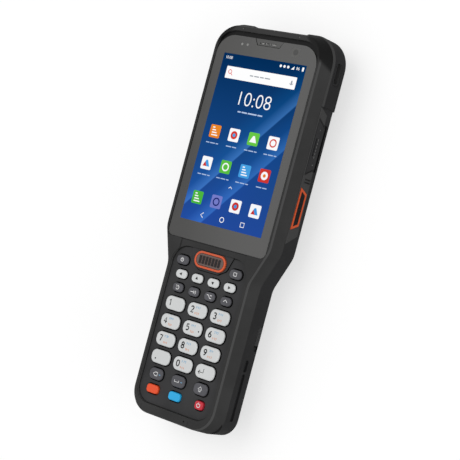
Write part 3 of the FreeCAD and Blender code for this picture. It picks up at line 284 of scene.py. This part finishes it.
seal_finish = moulded("seal_rubber", "0e0e0e", 0.6, 0.15, 0.1)[0]
dress("housing_seal", seal_finish)
dress("glass_gasket", seal_finish)


# Touch glass
# Hardened glass with a dark grey border printed on its back, faintly smeared by fingers.

glass_finish, glass_shader, glass_where = new_finish("printed_glass", 0.12, 0.5)
smear = speckle(glass_where, 30.0, 4.0)
border_tone = smear.ramp((0.3, linear("333332")), (0.7, linear("3a3937")))
feed(glass_shader, base_color=border_tone, roughness=0.1 + 0.12 * smear)
dress("touch_glass", glass_finish)


# Shapes printed on glass and keys
# Flat outlines of ink, a few hundredths of a millimetre above what they are printed on.

MM = 0.001


def as_mesh(name, parts, finishes, body):
    """One flat piece from (points, faces, finish number) parts, riding on a body."""
    points = np.concatenate([p for p, _, _ in parts]) * MM
    starts = np.cumsum([0] + [len(p) for p, _, _ in parts[:-1]])
    faces = [[int(i + start) for i in face] for (_, fs, _), start in zip(parts, starts) for face in fs]
    mesh = bpy.data.meshes.new(name)
    mesh.from_pydata(points.tolist(), [], faces)
    for finish in finishes:
        mesh.materials.append(finish)
    numbers = np.concatenate([np.full(len(fs), number) for _, fs, number in parts])
    mesh.polygons.foreach_set("material_index", numbers.astype(np.int32))
    mesh.update()
    piece = bpy.data.objects.new(name, mesh)
    scene.collection.objects.link(piece)
    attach(piece, body)
    return piece


def stroke(points, width, x, y, z, number=0):
    """A line of even width: each point goes half the width to both sides, square to the line's run there."""
    line = np.array(points, float)
    runs = np.diff(line, axis=0)
    runs = runs / np.linalg.norm(runs, axis=1)[:, None]
    square = np.stack([-runs[:, 1], runs[:, 0]], axis=1)
    ends = np.concatenate([square[:1], square[:-1] + square[1:], square[-1:]])
    ends = ends / np.maximum(np.linalg.norm(ends, axis=1), 0.5)[:, None]
    sides = np.concatenate([line - ends * width / 2, line + ends * width / 2])
    flat = np.column_stack([sides[:, 0] + x, sides[:, 1] + y, np.full(len(sides), z)])
    count = len(line)
    i = np.arange(count - 1)
    return flat, np.stack([i, i + 1, count + i + 1, count + i], axis=1).tolist(), number


def shape(points, x, y, z, number=0):
    """A filled outline, given anticlockwise."""
    outline = np.array(points, float)
    flat = np.column_stack([outline[:, 0] + x, outline[:, 1] + y, np.full(len(outline), z)])
    return flat, [list(range(len(outline)))], number


def arc(radius, start=0.0, end=360.0, steps=20):
    """Points along a circle between two angles."""
    turns = np.radians(np.linspace(start, end, steps))
    return np.stack([radius * np.cos(turns), radius * np.sin(turns)], axis=1)


def rounded(width, height, radius):
    """A rectangle whose corners are quarter circles."""
    corners = []
    for sx, sy, start in ((1, 1, 0.0), (-1, 1, 90.0), (-1, -1, 180.0), (1, -1, 270.0)):
        corners.append(arc(radius, start, start + 90.0, 6)
                       + np.array([sx * (width / 2 - radius), sy * (height / 2 - radius)]))
    return np.concatenate(corners)


def figures(text, height, x, y, z, weight=0.0, number=0):
    """Plain figures as a filled shape, centred on a place."""
    words = bpy.data.curves.new("figures", "FONT")
    words.body = text
    words.size = height / 0.73
    words.align_x = "CENTER"
    words.align_y = "CENTER"
    words.offset = weight
    holder = bpy.data.objects.new("figures", words)
    scene.collection.objects.link(holder)
    bpy.context.view_layer.update()
    flat = bpy.data.meshes.new_from_object(holder)
    points = np.zeros(len(flat.vertices) * 3)
    flat.vertices.foreach_get("co", points)
    points = points.reshape(-1, 3)
    points[:, :2] -= (points[:, :2].min(0) + points[:, :2].max(0)) / 2
    faces = [list(p.vertices) for p in flat.polygons]
    bpy.data.objects.remove(holder)
    bpy.data.meshes.remove(flat)
    return points + np.array([x, y, z]), faces, number


def ink(name, code, roughness=0.5):
    """Printed ink: a colour that is a little thinner in spots."""
    material, shader, where = new_finish(name, roughness, 0.2)
    spots = speckle(where, 2500.0)
    colour = linear(code)
    thin = tuple(v * 0.85 + 0.01 for v in colour)
    feed(shader, base_color=spots.ramp((0.3, thin), (0.6, colour)))
    return material


def lit(name, top_code, bottom_code, low, high, strength=1.0):
    """A lit patch of the display that runs from one colour to another up the screen."""
    material, shader, where = new_finish(name, 0.2, 0.0, base_color=(0.0, 0.0, 0.0, 1.0),
                                         emission_strength=strength)
    rise = (where.axis(1) - low * MM) / ((high - low) * MM)
    colour = rise.ramp((0.0, linear(bottom_code)), (1.0, linear(top_code)))
    feed(shader, emission_color=colour)
    return material


# Display picture
# The lit picture of the display, seen through the glass: dark blue with soft beams of light.

screen_half = 25.92
screen_middle, screen_length = 41.215, 86.4
screen_low = screen_middle - screen_length / 2
screen_high = screen_middle + screen_length / 2
glass_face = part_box("touch_glass")[1].z / MM
picture_z = glass_face + 0.02
picture_finish, picture_shader, picture_where = new_finish(
    "display_picture", 0.2, 0.0, base_color=(0.0, 0.0, 0.0, 1.0), emission_strength=1.0)
across, up = picture_where.axis(0), picture_where.axis(1)
rise = (up - screen_low * MM) / (screen_length * MM)
depth = rise.ramp((0.0, linear("22499a")), (0.45, linear("164684")), (1.0, linear("022c58")))
slant = (up + across * -1.15 - screen_low * MM) / (screen_length * MM)
beams = slant.ramp(
    (0.0, (0.0, 0.0, 0.0)), (0.16, (0.0, 0.0, 0.02)), (0.17, (0.02, 0.08, 0.22)), (0.3, (0.0, 0.01, 0.04)),
    (0.42, (0.0, 0.0, 0.0)), (0.43, (0.03, 0.1, 0.24)), (0.53, (0.0, 0.02, 0.06)), (0.7, (0.0, 0.0, 0.0)))
glow = depth.node("Mix", {"data_type": "RGBA", "blend_type": "ADD"}, {0: 1.0, 6: depth, 7: beams}, 2)
feed(picture_shader, emission_color=glow)
as_mesh("display_picture", [shape(
    [(-screen_half, screen_low), (screen_half, screen_low),
     (screen_half, screen_high), (-screen_half, screen_high)],
    0.0, 0.0, picture_z)], [picture_finish], "terminal")


# Display symbols
# A search bar, plain clock figures, rows of tiles with simple shapes, and the strip of three system marks.

lit_white = lit("lit_white", "ffffff", "f4f6fa", screen_low, screen_high)
lit_green = lit("lit_green", "7ed94c", "3fae3a", screen_low, screen_high)
lit_orange = lit("lit_orange", "f29a2e", "dd6a1e", screen_low, screen_high)
lit_red = lit("lit_red", "e0463a", "c22f2a", screen_low, screen_high)
lit_sky = lit("lit_sky", "58b8ee", "3a8fd8", screen_low, screen_high)
lit_violet = lit("lit_violet", "8f8fd6", "6f78c4", screen_low, screen_high)
lit_grey = lit("lit_grey", "9aa0a8", "8a9098", screen_low, screen_high)
lit_navy = lit("lit_navy", "1a2f80", "14246a", screen_low, screen_high)
lit_pale = lit("lit_pale", "b9cbe6", "a9bfe2", screen_low, screen_high)
WHITE, GREEN, ORANGE, RED, SKY, VIOLET, GREY, NAVY, PALE = range(9)
symbol_z = picture_z + 0.02
motif_z = symbol_z + 0.02


def down(share):
    """A height on the display from its share of the way down."""
    return screen_high - share * screen_length


def dashes(x, y, lengths, width, number):
    """A row of short bars, centred on a place."""
    gap = 0.55
    total = sum(lengths) + gap * (len(lengths) - 1)
    starts = x - total / 2 + np.cumsum([0.0] + [length + gap for length in lengths[:-1]])
    return [stroke([(0.0, 0.0), (length, 0.0)], width, start, y, symbol_z, number)
            for start, length in zip(starts, lengths)]


symbols = [shape(rounded(44.0, 6.2, 0.5), 0.2, down(0.11), symbol_z, WHITE),
           stroke(arc(1.0, 0.0, 360.0), 0.35, -19.2, down(0.106), motif_z, RED),
           stroke([(0.7, -0.7), (1.7, -1.7)], 0.35, -19.2, down(0.106), motif_z, RED),
           shape(rounded(0.9, 2.0, 0.4), 19.6, down(0.108), motif_z, GREY),
           stroke(arc(1.1, 200.0, 340.0), 0.3, 19.6, down(0.108), motif_z, GREY)]
for start, length in ((-6.4, 2.2), (-3.6, 3.0), (0.0, 2.4), (3.0, 3.4)):
    symbols.append(stroke([(0.0, 0.0), (length, 0.0)], 0.55, start, down(0.11), motif_z, GREY))
symbols.append(figures("10:08", 7.4, 0.9, down(0.248), symbol_z, -0.14, WHITE))
symbols += dashes(-0.2, down(0.327), [2.0, 3.4, 5.6, 3.0], 0.7, PALE)

columns = (-18.6, -6.3, 6.0, 18.3)
tile_rows = [
    (0.465, (ORANGE, WHITE, GREEN, WHITE), ("bars", "disc", "peak", "ring")),
    (0.655, (WHITE, GREEN, SKY, RED), ("peak", "ring", "bars", "disc")),
    (0.862, (GREEN, VIOLET, WHITE, WHITE), ("bars", "ring", "disc", "peak"))]
motif_inks = {WHITE: (RED, SKY), GREEN: (WHITE, WHITE), ORANGE: (WHITE, WHITE), SKY: (WHITE, NAVY),
              RED: (WHITE, ORANGE), VIOLET: (NAVY, NAVY)}
for share, colours, motifs in tile_rows:
    for x, colour, motif in zip(columns, colours, motifs):
        y = down(share)
        first, second = motif_inks[colour]
        symbols.append(shape(rounded(6.6, 6.6, 0.7), x, y, symbol_z, colour))
        if motif == "bars":
            for i in range(4):
                level = -1.9 + 1.3 * i
                symbols.append(stroke([(-1.9, level), (1.9 - 0.8 * i, level)], 0.6, x, y, motif_z, first))
        elif motif == "disc":
            symbols.append(shape(arc(2.1)[:-1], x, y, motif_z, first))
            symbols.append(shape(arc(0.9)[:-1], x, y, motif_z + 0.02, second))
        elif motif == "peak":
            symbols.append(shape([(-2.2, -1.7), (2.2, -1.7), (0.5, 1.6), (-0.5, 1.6)], x, y, motif_z, second))
            symbols.append(shape([(-2.2, -1.7), (0.4, -1.7), (-1.0, 0.7)], x, y, motif_z + 0.02, first))
        else:
            symbols.append(stroke(arc(1.8), 0.7, x, y, motif_z, first))
        if share < 0.8:
            symbols += dashes(x, y - 6.0, [2.2, 3.0, 1.6] if motif != "disc" else [3.4, 2.6], 0.5, PALE)
symbols.append(stroke([(-1.0, -0.4), (0.0, 0.5), (1.0, -0.4)], 0.35, 0.0, down(0.765), symbol_z, WHITE))
symbols.append(stroke([(0.9, 1.3), (-0.7, 0.0), (0.9, -1.3)], 0.4, -13.0, down(0.955), symbol_z, WHITE))
symbols.append(stroke(arc(1.25), 0.4, 0.0, down(0.955), symbol_z, WHITE))
symbols.append(stroke([(-1.1, -1.1), (1.1, -1.1), (1.1, 1.1), (-1.1, 1.1), (-1.1, -1.1)], 0.4,
                      13.0, down(0.955), symbol_z, WHITE))
for start in (10.6, 12.9, 15.2):
    symbols.append(shape(arc(0.7)[:-1], start, down(0.024), symbol_z, WHITE))
symbols.append(shape([(-0.9, -0.9), (0.9, -0.9), (0.9, 0.9)], 18.0, down(0.024), symbol_z, WHITE))
symbols.append(figures("86", 1.5, 21.2, down(0.024), symbol_z, 0.0, WHITE))
symbols.append(shape(rounded(1.1, 2.0, 0.2), 24.2, down(0.024), symbol_z, WHITE))
symbols.append(figures("10:08", 1.5, -22.0, down(0.024), symbol_z, 0.0, WHITE))
as_mesh("display_symbols", symbols, [lit_white, lit_green, lit_orange, lit_red, lit_sky, lit_violet, lit_grey,
                                     lit_navy, lit_pale], "terminal")
dress("display_module", moulded("display_back", "0b0b0e", 0.3, 0.5, 0.02)[0])


# Sensors and front camera
# Two small light sensors and the camera's square window, printed clear of the border's ink.

sensor_ink = ink("sensor_clear", "8e8e8c", 0.2)
lens_ink = ink("lens_black", "464645", 0.1)
window_ink = ink("camera_window", "5c5c5a", 0.2)
top_marks = [shape(arc(0.65)[:-1], -16.3, 90.0, picture_z, 0),
             shape(arc(0.65)[:-1], -12.8, 90.1, picture_z, 0),
             shape(rounded(4.6, 4.4, 0.6), 17.3, 90.0, picture_z, 1),
             shape(arc(1.5)[:-1], 17.3, 90.0, picture_z + 0.02, 2)]
as_mesh("glass_windows", top_marks, [sensor_ink, window_ink, lens_ink], "terminal")
dress("front_camera", moulded("camera_block", "111113", 0.3, 0.4, 0.05)[0])


# Earpiece
# A small black insert in the glass, with a slot over a woven mesh, whose pale threads are partly a painted
# highlight.

grille_finish, grille_shader, grille_where, grille_tone = moulded("earpiece_insert", "464645", 0.4, 0.4)
slot_mask = (grille_where.axis(2) < 0.0285) * (grille_where.axis(1) > 0.0905)
# the mesh's black and pale noise is partly its weave and partly a painted highlight
weave_and_highlight = speckle(grille_where, 1400.0)
mesh_and_highlight_tone = weave_and_highlight.ramp((0.42, linear("0a0a0a")), (0.58, linear("a0a09e")))
feed(grille_shader, base_color=blend_colours(slot_mask, grille_tone, mesh_and_highlight_tone))
dress("earpiece_grille", grille_finish)


# Keypad plate
# A matt black plate with a hole for each key and a raised shield round the scan key.
# Its walls and the groove round the shield are painted near-black as the shade they lie in.

plate_finish, plate_shader, plate_where, plate_tone = moulded("keypad_plate", "383839", 0.6, 0.15)
shield_rise = 0.5
plate_low, plate_high = (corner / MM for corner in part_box("keypad_plate"))
plate_face = plate_high.z - shield_rise
# painted shade: the groove round the shield and every wall that does not face up are coloured near-black
groove_shade_mask = plate_where.axis(2) < (plate_face - 0.1) * MM
painted_shade_mask = groove_shade_mask.either(facing(plate_finish).axis(2) < 0.5)
feed(plate_shader, base_color=blend_colours(painted_shade_mask, plate_tone, linear("060606")))
dress("keypad_plate", plate_finish)
dress("keypad_membrane", moulded("silicone_sheet", "101011", 0.6, 0.2, 0.1)[0])


# Scan key and its ring
# The scan key is grey rubber with upright black ribs, in a glossy orange ring.

ring_finish = moulded("orange_ring", "d85523", 0.3, 0.4, 0.05, 0.06)[0]
dress("scan_key_ring", ring_finish)
scan_finish, scan_shader, scan_where, _ = moulded("scan_key", "4c4644", 0.5)
rib_mask = scan_where.axis(2) > 0.02962
feed(scan_shader, base_color=blend_colours(rib_mask, linear("6f5f5a"), linear("201c1d")))
dress("key_scan", scan_finish)


# Keys
# Caps of moulded plastic with rounded edges: pale for the figures and arrows, dark grey for the rest.
# The foot of each pale and dark cap is painted near-black as the shade in the gap round it.

pale_key, pale_shader, pale_where, pale_tone = moulded("pale_key", "dcdede", 0.45, 0.3, 0.1, 0.02)
# painted shade: the foot of the pale cap is coloured near-black
foot_shade_mask = pale_where.axis(2) < 0.02868
feed(pale_shader, base_color=blend_colours(foot_shade_mask, pale_tone, linear("161616")))
dark_key, dark_shader, dark_where, dark_tone = moulded("dark_key", "505055", 0.5, 0.3, 0.15)
# painted shade: the foot of the dark cap is coloured near-black
feed(dark_shader, base_color=blend_colours(dark_where.axis(2) < 0.02868, dark_tone, linear("0e0e0e")))
orange_key = moulded("orange_key", "f2552a", 0.4, 0.3, 0.1, 0.05)[0]
blue_key = moulded("blue_key", "2cb4ee", 0.4, 0.3, 0.1, 0.05)[0]
red_key = moulded("red_key", "cc2f3e", 0.4, 0.3, 0.1, 0.05)[0]
ink_black = ink("ink_black", "0c0c0c")
ink_white = ink("ink_white", "f2f2f2")
ink_blue = ink("ink_blue", "7fb8dc")
ink_orange = ink("ink_orange", "eda37c")
inks = [ink_black, ink_white, ink_blue, ink_orange]
BLACK_INK, WHITE_INK, BLUE_INK, ORANGE_INK = range(4)

# the bold figures 0 to 9 as lines, 3 mm high
figure_lines = (
    ((0.0, 1.5), (0.6, 1.2), (0.85, 0.5), (0.85, -0.5), (0.6, -1.2), (0.0, -1.5), (-0.6, -1.2), (-0.85, -0.5),
     (-0.85, 0.5), (-0.6, 1.2), (0.0, 1.5)),
    ((-0.6, 0.8), (0.15, 1.5), (0.15, -1.5)),
    ((-0.8, 0.9), (-0.5, 1.35), (0.0, 1.5), (0.55, 1.3), (0.8, 0.8), (0.6, 0.2), (-0.75, -1.5), (0.9, -1.5)),
    ((-0.75, 1.2), (-0.2, 1.5), (0.5, 1.3), (0.7, 0.8), (0.4, 0.25), (-0.1, 0.1), (0.5, -0.1), (0.85, -0.65),
     (0.55, -1.25), (-0.1, -1.5), (-0.8, -1.2)),
    ((0.35, -1.5), (0.35, 1.4), (-0.9, -0.6), (0.95, -0.6)),
    ((0.75, 1.5), (-0.55, 1.5), (-0.7, 0.2), (0.0, 0.45), (0.6, 0.2), (0.85, -0.5), (0.5, -1.25),
     (-0.1, -1.5), (-0.8, -1.2)),
    ((0.55, 1.5), (-0.3, 0.7), (-0.8, -0.4), (-0.6, -1.2), (0.0, -1.5), (0.6, -1.2), (0.8, -0.6), (0.5, 0.0),
     (0.0, 0.2), (-0.6, -0.1)),
    ((-0.85, 1.5), (0.85, 1.5), (-0.2, -1.5)),
    ((0.0, 0.1), (-0.6, 0.4), (-0.7, 0.95), (-0.35, 1.4), (0.0, 1.5), (0.35, 1.4), (0.7, 0.95), (0.6, 0.4),
     (0.0, 0.1), (-0.75, -0.3), (-0.85, -0.9), (-0.5, -1.35), (0.0, -1.5), (0.5, -1.35), (0.85, -0.9),
     (0.75, -0.3), (0.0, 0.1)),
    ((-0.55, -1.5), (0.3, -0.7), (0.8, 0.4), (0.6, 1.2), (0.0, 1.5), (-0.6, 1.2), (-0.8, 0.6), (-0.5, 0.0),
     (0.0, -0.2), (0.6, 0.1)))


def tiny_marks(number, seed):
    """Three short strokes that differ from key to key."""
    turn = np.random.default_rng(seed)
    marks = []
    for place in range(3):
        x = 0.95 * place - 0.95
        kind = turn.integers(0, 3)
        if kind == 0:
            marks.append((([(x, -0.55), (x, 0.55)]), number))
        elif kind == 1:
            marks.append((([(x - 0.3, 0.5), (x + 0.3, 0.5), (x, -0.5)]), number))
        else:
            marks.append((([(x - 0.3, -0.5), (x - 0.3, 0.5), (x + 0.3, 0.0)]), number))
    return marks


legends = {
    "key_control_one": [(arc(0.95, -150.0, 120.0), WHITE_INK),
                        ([(-1.1, 0.9), (-0.2, 1.0), (-0.5, 0.1)], WHITE_INK)],
    "key_control_two": [([(-1.6, 0.0), (0.9, 0.0)], WHITE_INK),
                        ([(0.2, 0.7), (0.9, 0.0), (0.2, -0.7)], WHITE_INK),
                        ([(1.5, 0.9), (1.5, -0.9)], WHITE_INK)],
    "key_control_three": [([(-1.6, 0.7), (-0.6, 0.7), (0.5, -0.7), (1.6, -0.7)], WHITE_INK),
                          ([(0.4, 0.7), (1.6, 0.7)], WHITE_INK)],
    "key_control_four": [([(-1.2, -0.3), (0.0, 0.8), (1.2, -0.3)], WHITE_INK)],
    "key_programme_left": [(arc(0.85), WHITE_INK), ([(0.0, 0.0), (0.0, 1.3)], WHITE_INK)],
    "key_programme_right": [([(-0.9, -0.8), (-0.9, 0.8), (0.9, 0.8), (0.9, -0.8), (-0.9, -0.8)], WHITE_INK)],
    "key_erase": [([(-0.4, 0.9), (1.0, 0.9), (1.0, -0.9), (-0.4, -0.9), (-1.6, 0.0), (-0.4, 0.9)], WHITE_INK),
                  ([(2.0, 0.0), (3.0, 0.0)], BLUE_INK)],
    "key_space": [([(-2.0, 0.5), (-2.0, -0.4), (0.6, -0.4), (0.6, 0.5)], WHITE_INK),
                  ([(1.9, 0.0), (2.9, 0.0)], BLUE_INK)],
    "key_shift": [([(-0.5, -1.1), (-0.5, 0.0), (-1.3, 0.0), (0.0, 1.3), (1.3, 0.0), (0.5, 0.0), (0.5, -1.1),
                    (-0.5, -1.1)], WHITE_INK)],
    "key_power": [(arc(1.0, 125.0, 415.0), WHITE_INK), ([(0.0, 0.3), (0.0, 1.4)], WHITE_INK)],
    "key_enter": [([(-0.8, 1.5), (-0.8, -0.6), (-3.9, -0.6)], BLACK_INK),
                  ([(-2.9, 0.4), (-3.9, -0.6), (-2.9, -1.6)], BLACK_INK)],
    "key_point": [],
    "key_arrow_left": [],
    "key_arrow_up": [],
    "key_arrow_down": [],
    "key_arrow_right": [],
    "key_orange": [],
    "key_blue": []}
arrows = {"key_arrow_left": 180.0, "key_arrow_up": 90.0, "key_arrow_down": 270.0, "key_arrow_right": 0.0}
for figure in range(10):
    legends["key_%d" % figure] = []

for name, strokes in legends.items():
    low, high = (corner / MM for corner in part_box(name))
    x, y, top = (low.x + high.x) / 2, (low.y + high.y) / 2, high.z + 0.015
    figure_key = name[4:].isdigit()
    if name == "key_orange":
        finish = orange_key
    elif name == "key_blue":
        finish = blue_key
    elif name == "key_power":
        finish = red_key
    elif figure_key or name in ("key_point", "key_enter") or "arrow" in name:
        finish = pale_key
    else:
        finish = dark_key
    dress(name, finish)
    prints = [stroke(points, 0.36, x, y, top, number) for points, number in strokes]
    if figure_key:
        prints.append(stroke(figure_lines[int(name[4:])], 0.62, x - 2.8, y + 0.1, top, BLACK_INK))
        if name != "key_1":
            prints += [stroke(points, 0.3, x + 0.7, y + 1.5, top, number)
                       for points, number in tiny_marks(BLUE_INK, int(name[4:]))]
            prints += [stroke(points, 0.3, x + 0.5, y - 1.6, top, number)
                       for points, number in tiny_marks(ORANGE_INK, 20 + int(name[4:]))]
    if name in arrows:
        prints.append(shape(arc(1.0, arrows[name], arrows[name] + 360.0, 4)[:-1], x, y, top, BLACK_INK))
    if name == "key_point":
        prints.append(shape(arc(0.42)[:-1], x - 2.9, y - 1.2, top, BLACK_INK))
    if name == "key_5":
        prints.append(shape(arc(0.4)[:-1], x + 4.6, y - 0.6, top, BLACK_INK))
    if prints:
        as_mesh(name + "_print", prints, inks, name)


# Seam marks
# Short dark joints in the rim beside the corners and at its foot, with a pale moulding dot at the upper two,
# and the dark joints under the glass and round the keypad plate.

seam_and_shade_ink = ink("seam_and_shade_black", "070707", 0.6)
dot_ink = ink("moulding_dot", "777776", 0.5)
rim_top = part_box("front_housing")[1].z / MM + 0.015
bridge_z = rim_top - 0.45
seams = [stroke([(-17.0, 95.6), (-17.0, 98.6)], 0.22, 0.0, 0.0, rim_top, 0),
         stroke([(17.0, 95.6), (17.0, 98.6)], 0.22, 0.0, 0.0, rim_top, 0),
         shape(arc(0.22)[:-1], -17.6, 97.6, rim_top, 1),
         shape(arc(0.22)[:-1], 17.6, 97.6, rim_top, 1),
         stroke([(12.6, -97.6), (12.6, -100.2)], 0.22, 0.0, 0.0, rim_top, 0),
         stroke([(-18.4, -97.2), (-18.4, -99.8)], 0.22, 0.0, 0.0, rim_top, 0),
         stroke([(-29.0, -11.85), (29.0, -11.85)], 0.45, 0.0, 0.0, bridge_z, 0)]
edge = rounded(plate_high.x - plate_low.x - 0.4, plate_high.y - plate_low.y - 0.4, 8.3)
seams.append(stroke(np.concatenate([edge, edge[:1]]), 0.35, 0.0, (plate_high.y + plate_low.y) / 2,
                    plate_face + 0.015, 0))
as_mesh("seam_marks", seams, [seam_and_shade_ink, dot_ink], "terminal")


# Side triggers
# An orange frame round a black rubber pad with upright ribs.

dress("trigger_right", ring_finish)
dress("trigger_left", ring_finish)
pad_finish = moulded("trigger_rubber", "1d1d1e", 0.65, 0.15, 0.3)[0]
dress("trigger_pad_right", pad_finish)
dress("trigger_pad_left", pad_finish)


# Port cover and socket
# A rubber flap over the steel socket in the right wall, with painted shade in black strokes along the gaps at
# its slanted ends.

dress("port_cover", moulded("cover_rubber", "333334", 0.65, 0.15, 0.3)[0])


def on_side(part, outwards=1):
    """A flat part turned to face +X or -X: its two runs become Y and Z, and its height X."""
    points, faces, number = part
    turned = points[:, [2, 0, 1]] * np.array([outwards, 1.0, 1.0])
    return turned, faces if outwards > 0 else [face[::-1] for face in faces], number


cover_x = 36.65 + 0.015
flap_marks = [stroke([(0.0, 0.0), (1.1, 0.0)], 0.35, start, 18.7, cover_x, 1)
              for start in np.arange(42.0, 51.5, 1.7)]
flap_marks += [shape(arc(0.28)[:-1], 56.0, 19.3, cover_x, 1), shape(arc(0.28)[:-1], 38.7, 18.2, cover_x, 1),
               # painted shade: black strokes along the gaps at the flap's slanted ends
               stroke([(60.9, 21.9), (57.6, 16.1)], 0.5, 0.0, 0.0, cover_x, 0),
               stroke([(33.7, 21.9), (37.0, 16.1)], 0.5, 0.0, 0.0, cover_x, 0)]
as_mesh("port_cover_marks", [on_side(part) for part in flap_marks], [seam_and_shade_ink, dot_ink], "port_cover")
ridge_x = 36.75 + 0.015
ticks = [on_side(stroke([(y, 16.4), (y, 20.9)], 0.6, 0.0, 0.0, ridge_x, 0)) for y in (29.64, 31.14)]
as_mesh("tick_marks", ticks, [seam_and_shade_ink], "terminal")

steel_finish, steel_shader, steel_where = new_finish("pressed_steel", 0.35, 0.5, metallic=1.0)
drawn_out = steel_where.node("Mapping", None, {"Vector": steel_where, "Scale": (1.0, 12.0, 1.0)})
brushed = speckle(drawn_out, 900.0)
feed(steel_shader, base_color=brushed.ramp((0.3, (0.42, 0.42, 0.43)), (0.7, (0.6, 0.6, 0.61))),
     roughness=0.28 + 0.15 * brushed)
dress("port_socket", steel_finish)
dress("housing_screws", steel_finish)


# Battery pack and its latches
# The pack is the handle's back, in the same black grain as the rear housing.
# A ribbed latch of greyer plastic slides in each side.

dress("battery_pack", moulded("battery_case", "202021", 0.6, 0.2, 0.35)[0])
latch_finish = moulded("latch_plastic", "3c3c3d", 0.5, 0.25)[0]
dress("battery_latch_right", latch_finish)
dress("battery_latch_left", latch_finish)


# Scan window and scan engine
# A deep red filter window in the end wall, with the imager's black block behind it.

pane_finish, pane_shader, pane_where = new_finish("scan_window", 0.08, 0.5)
haze = speckle(pane_where, 80.0)
pane_tone = haze.ramp((0.3, linear("2a0608")), (0.7, linear("3c0a0c")))
feed(pane_shader, base_color=pane_tone, roughness=0.05 + 0.08 * haze)
dress("scan_window", pane_finish)
dress("scan_engine", moulded("engine_block", "141415", 0.4, 0.3)[0])


# Dock contacts
# Eight gilt pads let into the foot of the handle.

gilt_finish, gilt_shader, gilt_where = new_finish("gilt", 0.3, 0.5, metallic=1.0)
worn = speckle(gilt_where, 1500.0)
feed(gilt_shader, base_color=worn.ramp((0.3, (0.62, 0.42, 0.15)), (0.7, (0.85, 0.62, 0.27))))
dress("dock_contacts", gilt_finish)


# Boards, speaker and rear camera
# Green boards with grey cans, a black speaker basket and a glossy camera behind the back wall.

board_finish, board_shader, board_where, board_tone = moulded("board_green", "0d4a26", 0.4, 0.4, 0.05)
can_mask = board_where.axis(2) > 0.0162
feed(board_shader, base_color=blend_colours(can_mask, board_tone, (0.5, 0.5, 0.5)))
dress("main_board", board_finish)
dress("keypad_board", moulded("keypad_board_green", "0d4a26", 0.4, 0.4, 0.05)[0])
dress("speaker", moulded("speaker_basket", "121212", 0.5, 0.3)[0])
dress("rear_camera", moulded("rear_camera_glass", "0a0a0c", 0.12, 0.5, 0.02)[0])


# Table
# A wide pale table top that keeps the terminal's soft shadow.

table_mesh = bpy.data.meshes.new("table")
reach = 6.0
table_mesh.from_pydata([(-reach, -reach, 0.0), (reach, -reach, 0.0), (reach, reach, 0.0),
                        (-reach, reach, 0.0)], [], [(0, 1, 2, 3)])
table = bpy.data.objects.new("table", table_mesh)
scene.collection.objects.link(table)
table_finish, table_shader, _ = new_finish("table_paint", 0.9, 0.1, base_color=(0.5, 0.5, 0.5, 1.0),
                                                     emission_color=(1.0, 1.0, 1.0, 1.0))
rays = table_finish.node_tree.nodes.new("ShaderNodeLightPath")
glow_level = Wire(rays.outputs["Is Camera Ray"]) * 0.6
table_finish.node_tree.links.new(glow_level.socket, table_shader.inputs["Emission Strength"])
table_mesh.materials.append(table_finish)
